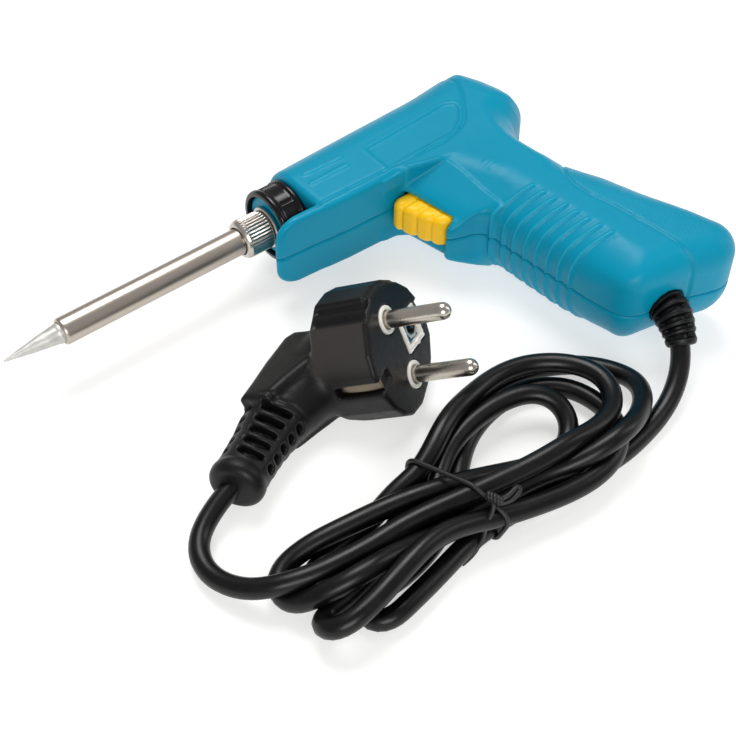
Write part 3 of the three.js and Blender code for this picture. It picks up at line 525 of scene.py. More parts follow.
def nets(F, org, h):
    """Quads of the surface F = 0 (negative inside) on a grid."""
    F = np.asarray(F, np.float32)
    S = F < 0
    c = np.zeros(tuple(n - 1 for n in F.shape), np.uint8)
    for i in (0, 1):
        for j in (0, 1):
            for k in (0, 1):
                c += S[i:c.shape[0] + i, j:c.shape[1] + j, k:c.shape[2] + k]
    act = (c > 0) & (c < 8)
    I, J, K = np.nonzero(act)
    idx = np.full(c.shape, -1, np.int32)
    idx[act] = np.arange(len(I))
    pos, cnt = np.zeros((len(I), 3)), np.zeros(len(I))
    for ax in range(3):
        o = [a for a in range(3) if a != ax]
        for u in (0, 1):
            for v in (0, 1):
                A = [0, 0, 0]
                A[o[0]], A[o[1]] = u, v
                B = list(A)
                B[ax] = 1
                fa = F[I + A[0], J + A[1], K + A[2]].astype(float)
                fb = F[I + B[0], J + B[1], K + B[2]].astype(float)
                m = (fa < 0) != (fb < 0)
                t = np.where(m, fa / np.where(m, fa - fb, 1), 0)
                p = np.tile(np.array(A, float), (len(I), 1))
                p[:, ax] = t
                pos[m] += p[m]
                cnt[m] += 1
    V = np.asarray(org) + h * (np.column_stack([I, J, K]) + pos / cnt[:, None])
    Q = []
    s0, s1 = S[:-1, 1:-1, 1:-1], S[1:, 1:-1, 1:-1]
    i, j, k = np.nonzero(s0 != s1)
    w = s0[i, j, k]
    j, k = j + 1, k + 1
    q = np.column_stack([idx[i, j - 1, k - 1], idx[i, j, k - 1], idx[i, j, k], idx[i, j - 1, k]])
    q[~w] = q[~w][:, ::-1]
    Q.append(q)
    s0, s1 = S[1:-1, :-1, 1:-1], S[1:-1, 1:, 1:-1]
    i, j, k = np.nonzero(s0 != s1)
    w = s0[i, j, k]
    i, k = i + 1, k + 1
    q = np.column_stack([idx[i - 1, j, k - 1], idx[i - 1, j, k], idx[i, j, k], idx[i, j, k - 1]])
    q[~w] = q[~w][:, ::-1]
    Q.append(q)
    s0, s1 = S[1:-1, 1:-1, :-1], S[1:-1, 1:-1, 1:]
    i, j, k = np.nonzero(s0 != s1)
    w = s0[i, j, k]
    i, j = i + 1, j + 1
    q = np.column_stack([idx[i - 1, j - 1, k], idx[i, j - 1, k], idx[i, j, k], idx[i - 1, j, k]])
    q[~w] = q[~w][:, ::-1]
    Q.append(q)
    return V, np.vstack(Q)


def grid(lo, hi, h):
    ax = [np.arange(a, b + h, h) for a, b in zip(lo, hi)]
    return ax[0][:, None, None], ax[1][None, :, None], ax[2][None, None, :]


# ------------------------------------------------------------------ housing
BODY = [[8, -15.2], [8, 12.3], [21, 12.8], [40, 13.5], [60, 14.1], [86, 14.9], [88.2, 14.6], [91, 14.8], [93.9, 14],
        [96.5, 10.9], [99.4, 4], [101.2, -3.1], [101.6, -7.6], [100.4, -11.3], [96.8, -14.6], [92.2, -17.6], [89.4, -21],
        [88, -25], [87.6, -29], [88, -35], [89.3, -42], [91.8, -48.5], [94.3, -54.5], [96.2, -62], [97.4, -70.3],
        [98.9, -79], [100.7, -86.0], [102.3, -91.3], [103.5, -96.4], [102.2, -100.4], [96.2, -101.5], [89.1, -99.4], [82.3, -96.9],
        [71.4, -94.7], [67, -93.9], [64.6, -92.6], [63.1, -89.9], [61.4, -80], [60.3, -70], [59.4, -61], [58.6, -52.9],
        [58.2, -47], [57.1, -42.5], [55, -40.6], [47.9, -38.2], [47.2, -37.2], [47.4, -36.4], [50.2, -35.4], [49.2, -28.0],
        [48.3, -21.5], [47.6, -18.6], [45.8, -16.9], [43.3, -16.6], [27.6, -16.2], [19, -15.5]]
SLAB = [[3.6, -13.4], [3.9, -12.6], [5, -12.2], [24, -12.4], [53, -13.6], [53, -17.4], [43.3, -16.6], [27.6, -16.2],
        [19, -15.5], [6.2, -14.7], [4.6, -14.3]]
LABEL = [[44.6, -3.1], [76.0, -1.9], [78.6, -3.4], [78.1, -6.3], [74.6, -10.2], [69.6, -13.3], [44.4, -13.6]]
PANEL = [[40, -16.8], [49.8, -16.8], [55.2, -18.9], [58.6, -19.9], [60.3, -22.2], [60.8, -27], [61.0, -44.6], [57.5, -47.5],
         [40, -50]]
RIM = [[88, 17], [87.2, 10], [86.3, 3.7], [84.3, -0.7], [81.6, -4.2], [77.6, -9.7], [74.4, -12.5], [70.5, -14.1],
       [64.7, -15.3], [58, -14.9], [46, -14.2], [23, -13.2], [19, -13.2]]
PAD = [[91.2, -42], [88.5, -43.0], [84.6, -44.6], [82.3, -46.8], [80.2, -50.4], [79.1, -54.6], [79.2, -60], [80.9, -69.4],
       [82.3, -84.1], [83.2, -96.5], [83.3, -101]]
h = 0.45
X, Y, Z = grid((1.0, -103.4, -1.5), (106.0, 17.5, 35.5), h)
X2, Y2 = X[:, :, 0], Y[:, :, 0]
d2 = poly_sd(X2, Y2, BODY)
# round the butt corners: distance to the outline set in by 8 mm
px, py = [], []
e0, e1 = d2[:-1] + 8, d2[1:] + 8
i, j = np.nonzero((e0 < 0) != (e1 < 0))
px += list(X2[i, 0] + h * e0[i, j] / (e0[i, j] - e1[i, j]))
py += list(Y2[0, j])
e0, e1 = d2[:, :-1] + 8, d2[:, 1:] + 8
i, j = np.nonzero((e0 < 0) != (e1 < 0))
px += list(X2[i, 0])
py += list(Y2[0, j] + h * e0[i, j] / (e0[i, j] - e1[i, j]))
low = Y2[0] < -62
px, py = np.array(px), np.array(py)
keep = py < -52
near = np.full((X2.shape[0], int(low.sum())), 1e9)
for qx, qy in zip(px[keep], py[keep]):
    near = np.minimum(near, (X2 - qx) ** 2 + (Y2[:, low] - qy) ** 2)
near = np.sqrt(near) * np.where(d2[:, low] < -8, -1, 1) - 8
d2[:, low] = mix(d2[:, low], near, ss(-63, -76, Y2[:, low]))
d2 = d2[:, :, None]
t_g = ss(-14, -40, Y2)
Hh = mix(12.7 + (np.clip(X2, 19, 90) - 19) / 67 * 2.1, np.minimum(15 + (-Y2 - 20) / 79 * 2.2, 16.85), t_g)
Hh = np.minimum(Hh, 16.85)
rr = 1.5 + (Hh - 1.5) * ss(-8, -1, Y2)
rr = mix(rr, 2.2, ss(-13, -17, Y2))
rr = mix(rr, 12.8, ss(-38.2, -45, Y2))
rr = mix(rr, mix(12.8, 8.0, ss(-60, -85, Y2)), ss(70, 88, X2))
rr = mix(rr, 8.2, ss(-74, -94, Y2))
lowr = mix(rr, 16.0, ss(-66, -86, Y2))
rr = np.where(Z > MZ, np.minimum(rr, Hh)[:, :, None], np.minimum(lowr, Hh)[:, :, None])
Hh = Hh[:, :, None]
dz = np.abs(Z - MZ)
# the underside of the barrel is a little shallower
dz = np.where(Z < MZ, dz * (1 + 0.13 * ss(-3, -11, Y) * ss(64, 52, X) * ss(-20, -17, Y)), dz)
body = extrude(d2, dz, Hh, rr)
# cheeks beside the trigger slope inwards to the front
down = np.clip(-17.2 - Y, 0, 21)
cheek = (dz - np.where(Z < MZ, 10.4, 7.2) + 0.07 * down - 0.55 * (X - 47.8 - 0.138 * down)) / math.hypot(1, 0.55)
body = smax(body, smin(cheek, 0.94 * (-17.3 - 0.34 * np.maximum(X - 48, 0) - Y), 0.8), 1.6)
inner = smax(body + 2.2, 21.4 - X, 1.0)
f = smax(body, 19 - X, 2.4)
# bottom slab with the rounded chin
slab2 = poly_sd(X2, Y2, SLAB)[:, :, None]
cx = np.abs(X - 33.4) - 30.0 + 8.0
cz = dz - 12.4 + 8.0
corner = np.minimum(np.maximum(cx, cz), 0) + np.sqrt(np.maximum(cx, 0) ** 2 + np.maximum(cz, 0) ** 2) - 8.0
f = smin(f, smax(slab2, corner, 1.2), 0.7)
side = ss(5, 9, dz)                                    # only on the side faces
panel = poly_sd(X2, Y2, PANEL)[:, :, None]
f = f - 0.55 * ss(0.5, -0.5, panel) * side
# raised ribs round the front of the grip
s = Y2 + 0.254 * (X2 - 58.3)
ribs = np.zeros_like(s)
for k in range(8):
    sk = -44.8 - 4.04 * k
    u = s - sk
    end = ss(70.9 + 0.32 * k, 69.3 + 0.32 * k, X2)
    ribs += end * (0.62 * np.exp(-(u / 0.5) ** 2) - 0.22 * np.exp(-((u + 1.1) / 0.7) ** 2))
f = f - ribs[:, :, None]
# grooves
g = line_d(X2, Y2, RIM)[:, :, None]
f = f + 0.55 * np.exp(-(g / 0.45) ** 2) * np.maximum(side, ss(10, 14, Y))
g = line_d(X2, Y2, PAD)[:, :, None]
f = f + 0.5 * np.exp(-(g / 0.5) ** 2)
# label recess, smooth and blank, on the upper side
lab = poly_sd(X2, Y2, LABEL)[:, :, None]
f = f + 0.42 * ss(0.4, -0.4, lab) * ss(20, 24, Z)
f = f - 0.12 * np.exp(-((lab - 0.7) / 0.45) ** 2) * ss(20, 24, Z)
# two low bars near the nose
for a, b in (((24, -0.5), (36.5, -1.3)), ((23.2, -5.0), (35.7, -5.2))):
    g = line_d(X2, Y2, [a, b])[:, :, None]
    f = f - 0.45 * ss(0.95, 0.35, g) * ss(18, 22, Z)
for yy in (-30.6, -32.0, -33.4):
    g = line_d(X2, Y2, [(66.0, yy), (68.6, yy + 0.2)])[:, :, None]
    f = f - 0.22 * np.exp(-(g / 0.35) ** 2) * ss(20, 24, Z)
# parting line
f = f + 0.4 * np.maximum(0, 1 - dz / 0.55)
f = np.maximum(f, -inner)
# spigot, bosses, openings
rad = np.sqrt(Y ** 2 + (Z - MZ) ** 2)
f = smin(f, smax(smax(rad - 9.2, 10.9 - X, 0.6), X - 23.0, 0.3), 0.3)
f = np.maximum(f, -np.maximum(rad - 5.3, X - 30))
SCREWS = [(33, -10.4, 1), (82.5, 5.5, 2), (83, -46.5, 3), (91, -88, 4)]
for sx, sy, n in SCREWS:
    rs = np.sqrt((X - sx) ** 2 + (Y - sy) ** 2)
    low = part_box("housing_screw_%d" % n)[0].z * 1000
    f = np.minimum(f, np.maximum(np.maximum(rs - 4.6, body), Z - 17))
    f = np.maximum(f, -np.maximum(rs - 3.3, Z - (low + 1.7)))
f = np.maximum(f, -box(X, Y, Z, 55.9, 65.2, -37.4, -17.0, MZ - 6.6, MZ + 6.6))
f = np.maximum(f, -box(X, Y, Z, 40.5, 58.0, -36.5, -16.95, MZ - 5.5, MZ + 5.5, 1.2))
f = np.maximum(f, -np.maximum(np.sqrt((X - 77) ** 2 + (Z - MZ) ** 2) - 5.5, Y + 85))


def painted_highlight(v):
    """Painted highlight: lighter colour on the rib crests, the bars, and the lip of the trigger guard, where the lights
    catch them.
    """
    s_ = v[:, 1] + 0.254 * (v[:, 0] - 58.3)
    out = np.zeros(len(v))
    for k in range(8):
        end = ss(71.2 + 0.32 * k, 69.0 + 0.32 * k, v[:, 0])
        out = np.maximum(out, end * np.exp(-((s_ + 44.8 + 4.04 * k - 0.25) / 0.45) ** 2) * ss(16, 22, v[:, 2]))
    for a_, b_ in (((24, -0.5), (36.5, -1.3)), ((23.2, -5.0), (35.7, -5.2))):
        out = np.maximum(out, 0.5 * np.exp(-((line_d(v[:, 0], v[:, 1], [a_, b_]) - 0.5) / 0.4) ** 2) * ss(20, 24, v[:, 2]))
    g_ = line_d(v[:, 0], v[:, 1], [(47.8, -17.2), (50.6, -37.6)])
    return np.maximum(out, 0.6 * np.exp(-(g_ / 0.7) ** 2) * ss(20, 23, v[:, 2]))


for nm, node, sel in (("shell_upper", "housing_upper_shell", MZ + 0.05 - Z), ("shell_lower", "housing_lower_shell", Z - MZ + 0.05)):
    v, q = nets(np.maximum(f, sel), (1.0, -103.4, -1.5), h)
    pd = poly_sd(v[:, 0], v[:, 1], PAD + [[110, -101], [110, -42]])
    # painted highlight on the rib crests, bars and guard lip, carried as a vertex attribute
    piece(nm, P(v), q, "blue", "housing", (node,), attrs={"pad": ss(-0.2, -1.2, pd), "painted_highlight": painted_highlight(v)})
del X, Y, Z, d2, f, body, inner, slab2, corner, side, panel, rad, dz


# ------------------------------------------------------------------ trigger
h = 0.3
X, Y, Z = grid((41.0, -38.5, 7.5), (62.0, -15.5, 26.5), h)
ys = np.linspace(-17.5, -36.0, 90)
fx = np.interp(-ys, [17.5, 18.1, 19.2, 20.4, 22, 26.8, 31.4, 34.0, 35.2, 36.0], [44.6, 43.2, 42.2, 41.9, 42.1, 43.8, 45.5, 47.0, 48.6, 50.8])
for v0 in (-22.3, -26.9, -31.4):
    fx = fx + 0.62 * np.exp(-((ys - v0) / 0.6) ** 2)
TR = [[a, b] for a, b in zip(fx, ys)] + [[60.4, -36.0], [60.4, -17.5]]
dz = np.abs(Z - MZ)
d2 = poly_sd(X[:, :, 0], Y[:, :, 0], TR)[:, :, None]
f = extrude(d2, dz, 5.15, 2.2)
f = smin(f, box(X, Y, Z, 56.4, 60.4, -36.9, -17.5, MZ - 6.2, MZ + 6.2, 0.4), 0.2)
# the steps bite a little deeper at both side edges
for v0 in (-22.3, -26.9, -31.4):
    f = f + 0.5 * np.exp(-((Y - v0 + 0.0 * X) / 0.75) ** 2) * ss(2.4, 5.0, dz) * ss(52, 46, X)
# round seat that takes the spring when pressed
rs = np.sqrt((Y + 28) ** 2 + (Z - MZ) ** 2)
f = np.maximum(f, -np.maximum(np.abs(rs - 3.3) - 0.8, 56.6 - X))
v, q = nets(f, (41.0, -38.5, 7.5), h)
piece("trigger_cap", P(v), q, "yellow", "trigger", ("trigger",))


# ------------------------------------------------------------------ nose
def ring_mod(i, x, r, a):
    out = np.full(len(a), float(r))
    if 11.7 < x < 17.0:
        for c in (52, 172, 292):
            u = np.degrees(np.angle(np.exp(1j * (a - math.radians(c)))))
            g = np.zeros(len(a))
            for k in range(-3, 4):
                g = np.maximum(g, np.exp(-((u - 7 * k) / 1.7) ** 2))
            out += -0.42 * g + 0.25 * np.exp(-(u / 26) ** 8)
            w = np.degrees(np.angle(np.exp(1j * (a - math.radians(c + 60)))))
            out += -0.4 * np.exp(-(w / 2.0) ** 2)
    return out


prof = [(9.8, 9.6), (9.8, 10.4), (9.95, 10.8), (10.3, 11.1), (10.8, 11.22), (11.3, 11.2), (11.55, 10.95), (11.7, 10.7)]
prof += [(x, 10.62) for x in np.linspace(11.9, 16.8, 8)]
prof += [(16.95, 10.72), (17.15, 11.0), (17.5, 11.25), (18.1, 11.25), (18.5, 11.05), (18.7, 10.7), (18.7, 9.6), (9.8, 9.6)]
v, q = lathe(prof, 360, ring_mod)
piece("swivel_ring", v, q, "ring", "nose_ring", ("nose_ring",), sharp=50)


def nut_mod(i, x, r, a):
    if 1.0 < x < 8.8:
        w = ss(1.0, 1.5, x) * ss(8.8, 8.3, x)
        return r - 0.34 * w * (0.5 - 0.5 * np.cos(36 * a)) ** 0.8
    return np.full(len(a), float(r))


prof = [(0.0, 4.35), (0.0, 4.95), (0.1, 5.15), (0.35, 5.4), (0.65, 5.62), (0.95, 5.72)]
prof += [(x, 5.88) for x in (1.15, 1.4, 2.4, 3.5, 4.6, 5.7, 6.8, 7.7, 8.3)]
prof += [(8.6, 5.8), (8.85, 5.65), (9.05, 5.5), (9.1, 5.3), (2.3, 5.3), (2.2, 5.25), (2.2, 4.35), (0.0, 4.35)]
v, q = lathe(prof, 36 * 10, nut_mod)
piece("nut", v, q, "nickel", "nut", ("knurled_nut",), sharp=45)

prof = [(3.9, 2.8), (3.9, 4.9), (9.3, 4.9), (9.3, 5.9), (9.4, 6.2), (9.6, 6.35), (10.2, 6.35), (10.45, 6.2), (10.6, 5.9),
        (10.6, 4.9), (24.0, 4.9), (24.0, 8.1), (26.1, 8.1), (26.1, 2.8), (3.9, 2.8)]
v, q = lathe(prof, 96)
piece("mount_sleeve", v, q, "nickel", "housing", ("heater_mount",), sharp=35)

# bit tube: rolled front rim, faint turning steps, open bore
prof = [(-58.6, 3.05), (-58.9, 3.15), (-59.0, 3.35), (-58.95, 3.62), (-58.75, 3.84), (-58.4, 3.96), (-57.9, 4.0)]
prof += [(x, 4.0 + 0.003 * math.sin(x * 1.7)) for x in np.linspace(-57, 2.6, 90)]
prof += [(3.2, 4.0), (3.55, 4.0), (3.6, 3.9), (3.6, 3.05), (-58.6, 3.05)]
v, q = lathe(prof, 96)
piece("bit_tube", v, q, "tube", "housing", ("barrel_tube",), sharp=40)


def tip_mod(i, x, r, a):
    k = 0.02 * r * (np.sin(3 * a + x * 0.7) + 0.6 * np.sin(5 * a - x * 1.3))
    return r + k * (0.4 + 0.6 * (x < -62))


prof = [(-76.2, 0.0), (-76.17, 0.14), (-76.05, 0.27), (-75.7, 0.36), (-74.5, 0.55)]
prof += [(x, 0.55 + (x + 74.5) / 14.3 * 2.25 + 0.12 * math.sin((x + 74.5) / 14.3 * math.pi)) for x in np.linspace(-73.6, -60.4, 30)]
prof += [(-60.2, 2.82), (-59.9, 2.97), (-59.6, 3.0), (-50, 3.0), (-42, 3.0), (-42, 0.0)]
v, q = lathe(prof, 72, tip_mod)
piece("bit", v, q, "tin", "housing", ("soldering_tip",), sharp=40)


# ------------------------------------------------------------------ strain relief at the grip
RELIEF = [[77.0, -91.2, 17], [77.0, -95.6, 17], [75.9, -99.6, 15.9], [74.6, -103.4, 13.3], [73.5, -105.6, 11.1]]
path = smooth_path(RELIEF, 0.12)
n, seg = len(path), 96
sl = np.linspace(0, 1, n) * np.linalg.norm(np.diff(path, axis=0), axis=1).sum()
L = sl[-1]
ang = np.linspace(0, 2 * math.pi, seg, endpoint=False)[None, :]
S_ = sl[:, None]
_, RA, RB = frames(path)
FACE_DIR = np.array([-0.60, -0.41, 0.69])
a0 = np.arctan2(RB @ FACE_DIR, RA @ FACE_DIR)[:, None]
R = 5.4 - 1.15 * ss(7, L, S_) + 0 * ang
around = np.abs(np.cos(ang - a0))
for k in range(5):
    c = 5.4 + k * 2.2
    gap = ss(0.75, 0.4, np.abs(S_ - c))
    R = R - 1.7 * gap * ss(0.42, 0.5, around) - 0.12 * gap
    R = R + 0.1 * np.exp(-((S_ - c - 1.0) / 0.5) ** 2)
R = R - 0.18 * np.exp(-((S_ - L + 2.9) / 0.4) ** 2)
t_ = np.clip((S_ - L + 1.1) / 1.1, 0, 1)
R = R - 1.2 * (1 - np.sqrt(np.clip(1 - t_ ** 2, 0, 1)))
v, q = tube(path, R, seg)
relief = piece("relief_sleeve", P(v), q, "relief", "housing", ("strain_relief",))


# ------------------------------------------------------------------ plug
PC = np.array([8.14, -63.66, 19.2])
PU = np.array([0.50231495, -0.73762195, 0.45121343])      # out of the face, along the pins
PT = np.array([0.84289324, 0.53411501, -0.06520843])      # across the face, away from the lead
PL = np.cross(PT, PU)                                     # from pin 1 to pin 2


def loc(v):
    """Plug-axes mm (out, across pins, away from lead) to plan mm."""
    v = np.asarray(v, float)
    return PC + v[:, :1] * PU + v[:, 1:2] * PL + v[:, 2:3] * PT


FACE = [[-18.3, -2.0], [-17.6, 4.0], [-15.4, 9.2], [-12.4, 13.0], [-8, 16.4], [-3, 18.1], [3, 18.1], [8.5, 16.2],
        [13.4, 11.1], [16.6, 4.0], [17.9, -2.8], [16.6, -8.6], [13.6, -12.4], [9, -15.2], [3.6, -16.6], [-3.6, -16.6],
        [-9.0, -14.6], [-15.6, -9.0]]
NECK = [(-12, -1, 13.0), (-18, -4, 12.0), (-23.2, -10, 10.4), (-26.8, -18, 9.0), (-29.0, -25, 8.1), (-29.9, -30, 7.7),
        (-30.8, -44.5, 7.3)]
h = 0.4
org = (-39.0, -20.5, -53.0)
X, Y, Z = grid(org, (1.5, 20.5, 20.0), h)
f = extrude(poly_sd(Y[0], Z[0], FACE)[None], np.abs(X + 9.0), 9.0, 1.1)
neck = None
for (ax, az, ra), (bx, bz, rb) in zip(NECK, NECK[1:]):
    ex, ez = bx - ax, bz - az
    t = np.clip(((X - ax) * ex + (Z - az) * ez) / (ex * ex + ez * ez), 0, 1)
    d = np.sqrt((X - ax - ex * t) ** 2 + (Y * 1.02) ** 2 + (Z - az - ez * t) ** 2) - mix(ra, rb, t)
    neck = d if neck is None else smin(neck, d, 2.0)
# squared shoulder behind the head
SHO = [(-12, -0.6), (-29.4, 0.9), (-32.0, -1.6), (-33.8, -12), (-34.6, -21), (-35.4, -26.6), (-26.5, -28), (-22.5, -20.5), (-17.5, -13)]
sho = extrude(poly_sd(X[:, :, 0], Z[0], SHO)[:, None, :], np.abs(Y), 10.8, 2.2)
neck = smin(neck, sho, 0.7)
# flat flanks
neck = smax(neck, np.abs(Y) - 11.8, 3.0)
neck = np.maximum(neck, -46.2 - Z)
neck = smax(neck, X + 5.0, 1.0)
# rounded end collar
cr = np.sqrt((X + 31.0) ** 2 + Y ** 2)
qx, qz = cr - 7.6 + 2.6, np.abs(Z + 47.6) - 2.9 + 2.6
neck = smin(neck, np.minimum(np.maximum(qx, qz), 0) + np.sqrt(np.maximum(qx, 0) ** 2 + np.maximum(qz, 0) ** 2) - 2.6, 0.5)
# flex slots round the neck
E1, E2 = (0.739, -0.674), (0.674, 0.739)
cxn = np.interp(Z[0, 0], [-44.5, -30, -25, -18], [-30.8, -29.9, -29.0, -26.8])[None, None, :]
rn = np.interp(Z[0, 0], [-44.5, -30, -25, -18], [7.4, 7.9, 8.4, 9.3])[None, None, :]
u, w = (X - cxn) * E1[0] + Y * E1[1], (X - cxn) * E2[0] + Y * E2[1]
phi = np.degrees(np.arctan2(w, u))
rad = np.sqrt(u * u + w * w)
cut = np.full(neck.shape, 9.0)
for k in range(5):
    zc = -28.0 - 3.7 * k
    for c, hw in ((-8, 31), (52, 11), (-78, 14), (98, 15), (172, 30), (-128, 11)):
        dphi = np.abs((phi - c + 180) % 360 - 180)
        arc = (dphi - hw) * rad * math.pi / 180
        lean = 0.9 * np.cos(np.radians(np.clip(dphi / hw, 0, 1) * 90)) if hw > 20 else 0.3
        zz = np.abs(Z - zc + lean * 0.8 - 0.4)
        half = 1.2 * np.sqrt(np.clip(1.0 - (dphi / (hw * 1.25)) ** 2, 0.15, 1))
        cut = np.minimum(cut, np.maximum(np.maximum(zz - half, arc), rn - 2.6 - rad))
neck = smax(neck, -cut, 0.5)
# waist groove where the neck meets the slots
neck = neck + 0.35 * np.exp(-((Z + 25.3) / 0.5) ** 2) * ss(-60, -30, phi) * ss(70, 40, phi)
f = smin(f, neck, 1.6)
# steps along the upper flank and the lower flank of the head
for yy, zz, dep in ((-17.9, -3.6, 1.4), (-16.0, -7.6, 0.9), (17.2, -6.2, 0.8)):
    g = np.sqrt((Y - yy) ** 2 + (Z - zz) ** 2)
    f = f + dep * np.exp(-(g / 0.9) ** 2) * ss(-17.0, -16.0, X) * ss(-0.6, -1.4, X)
up = ss(-4.0, -2.6, Z) * ss(-6.0, -9.0, Y) * ss(-17.8, -16.6, X)
f = f - 0.75 * up * ss(-1.8, -2.6, X)
# recesses for the earth clips, pins, socket
f = np.maximum(f, -box(X, Y, Z, -13.7, 2.0, -1.6, 1.9, -22.0, -14.1, 0.3))
f = np.maximum(f, -box(X, Y, Z, -13.7, 2.0, -3.2, 3.2, 15.6, 21.0, 0.3))
f = smax(f, -box(X, Y, Z, -1.0, 2.0, -1.6, 1.9, -15.6, -10.5, 0.3), 0.3)
f = smax(f, -box(X, Y, Z, -1.0, 2.0, -2.4, 2.4, 13.9, 17.0, 0.3), 0.3)
for yy in (-9.5, 9.5):
    f = np.maximum(f, -np.maximum(np.sqrt((Y - yy) ** 2 + Z ** 2) - 4.0, -2.0 - X))
    f = np.maximum(f, -np.maximum(np.sqrt((Y - yy) ** 2 + Z ** 2) - 2.5, -9.2 - X))
SQ = math.radians(-9)


def sq(y, z, half):
    a = (y - 0.1) * math.cos(SQ) + (z - 8.3) * math.sin(SQ)
    b = -(y - 0.1) * math.sin(SQ) + (z - 8.3) * math.cos(SQ)
    return np.maximum(np.abs(a), np.abs(b)) - half


f = np.maximum(f, -np.maximum(sq(Y, Z, 5.3), -1.6 - X))
f = np.maximum(f, -np.maximum(np.sqrt((Y - 0) ** 2 + (Z - 9.2) ** 2) - 3.9, -13.5 - X))
# rests on the table
WZ = PC[2] + X * PU[2] + Y * PL[2] + Z * PT[2]
f = smax(f, 0.35 - WZ, 2.5)
v, q = nets(f, org, h)
# facet marks the textured flank and its painted sheen; the 0.04 floor adds a little of that sheen over the whole plug
facet = ss(-19.0, -17.6, v[:, 0]) * ss(-0.9, -1.6, v[:, 0]) * ss(-2.6, -3.6, v[:, 1]) * ss(-7.0, -9.6, v[:, 2]) * ss(-17.5, -15.0, v[:, 2])
plug = piece("plug_moulding", P(loc(v)), q, "plug", "housing", ("plug_body",), attrs={"pad": 0.04 + 0.7 * facet})
del X, Y, Z, f, neck, cut, phi, rad, WZ, u, w, cr, qx, qz


def plug_lathe(profile, seg, y0, z0, mod=None):
    v, q = lathe(profile, seg, mod)
    v = v * 1000.0 - ORG
    return P(loc(np.column_stack([v[:, 0], v[:, 1] + y0, v[:, 2] - MZ + z0]))), q


plug_bits = [plug]
for n, yy in ((1, -9.5), (2, 9.5)):
    prof = [(-9.0, 0.0), (-9.0, 2.4)] + [(x, 2.4) for x in np.linspace(-2, 16.4, 14)]
    prof += [(16.6 + 2.4 * math.sin(a), 2.4 * math.cos(a) * 0.98 + 0.02) for a in np.linspace(0.12, 1.45, 9)] + [(19.0, 0.0)]
    v, q = plug_lathe(prof, 64, yy, 0.0)
    plug_bits.append(piece("pin_%d" % n, v, q, "pin", "housing", ("plug_pin_%d" % n,)))
    prof = [(-1.9, 2.6), (-1.9, 3.9), (0.0, 3.9), (0.3, 3.8), (0.42, 3.6), (0.42, 3.0), (0.3, 2.75), (0.0, 2.6), (-1.9, 2.6)]
    v, q = plug_lathe(prof, 64, yy, 0.0)
    plug_bits.append(piece("collar_%d" % n, v, q, "white", "housing", ("pin_collar_%d" % n,)))

h = 0.2
org = (-3.0, -6.6, 1.6)
X, Y, Z = grid(org, (1.0, 6.8, 15.0), h)
frame_f = np.maximum(np.maximum(sq(Y, Z, 5.15), -sq(Y, Z, 3.75)), np.abs(X + 0.6) - 1.0)
frame_f = np.maximum(frame_f, -np.maximum(np.abs(sq(Y, Z, 4.45)) - 0.18, -X))
for sgn in (-1, 1):
    frame_f = smin(frame_f, np.maximum(np.sqrt((Y - 0.1 - sgn * 4.4) ** 2 + (Z - 8.3) ** 2) - 0.9, np.abs(X + 0.4) - 1.1), 0.3)
v, q = nets(frame_f, org, h)
plug_bits.append(piece("socket_frame", P(loc(v)), q, "white", "housing"))
liner = np.maximum(np.maximum(sq(Y, Z, 3.7), -(np.sqrt(Y ** 2 + (Z - 9.2) ** 2) - 2.4)), np.abs(X + 1.4) - 0.45)
v, q = nets(liner, org, h)
plug_bits.append(piece("socket_liner", P(loc(v)), q, "teal", "housing"))

# earth clips: sprung strips with a raised middle and rolled ends
for name, node, z0, s, y_a, y_b in (("clip_lower", "earth_clip_lower", -14.95, -1, -1.45, 1.75), ("clip_upper", "earth_clip_upper", 16.55, 1, -2.75, 2.75)):
    xs = np.linspace(-13.2, -0.55, 40)
    ys = np.linspace(y_a, y_b, 12)
    V, Fq = [], []
    for side_ in (0, 1):
        for x in xs:
            t = (x + 13.2) / 12.65
            lift = 0.55 * math.sin(math.pi * min(1, max(0, t))) ** 0.8 - 0.25
            for y in ys:
                edge = 0.18 * (abs(2 * (y - y_a) / (y_b - y_a) - 1)) ** 6
                V.append((x, y, z0 + s * (lift - edge + (0.25 if side_ else -0.25))))
    a, b = len(xs), len(ys)
    for side_ in (0, 1):
        o = side_ * a * b
        for i in range(a - 1):
            for j in range(b - 1):
                qd = [o + i * b + j, o + i * b + j + 1, o + (i + 1) * b + j + 1, o + (i + 1) * b + j]
                Fq.append(qd if side_ else qd[::-1])
    rim = [i * b for i in range(a)] + [(a - 1) * b + j for j in range(1, b)] + [i * b + b - 1 for i in range(a - 2, -1, -1)] + [j for j in range(b - 2, 0, -1)]
    for i in range(len(rim)):
        p0, p1 = rim[i], rim[(i + 1) % len(rim)]
        Fq.append([p0, p1, p1 + a * b, p0 + a * b])
    plug_bits.append(piece(name, P(loc(np.array(V))), Fq, "clip", "housing", (node,), sharp=40))

plug_bits += [relief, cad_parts["earth_socket"]]


# ------------------------------------------------------------------ tie
ta, tb = np.array([-11.3, -87.0]), np.array([-4.8, -114.8])
tu = (tb - ta) / np.linalg.norm(tb - ta)
tn = np.array([-tu[1], tu[0]])
mid = (ta + tb) / 2


def hull(p):
    p = sorted(set(map(tuple, np.round(p, 4))))

    def half(seq):
        out = []
        for c in seq:
            while len(out) > 1 and (out[-1][0] - out[-2][0]) * (c[1] - out[-2][1]) - (out[-1][1] - out[-2][1]) * (c[0] - out[-2][0]) <= 0:
                out.pop()
            out.append(c)
        return out
    a, b = half(p), half(p[::-1])
    return np.array(a[:-1] + b[:-1])


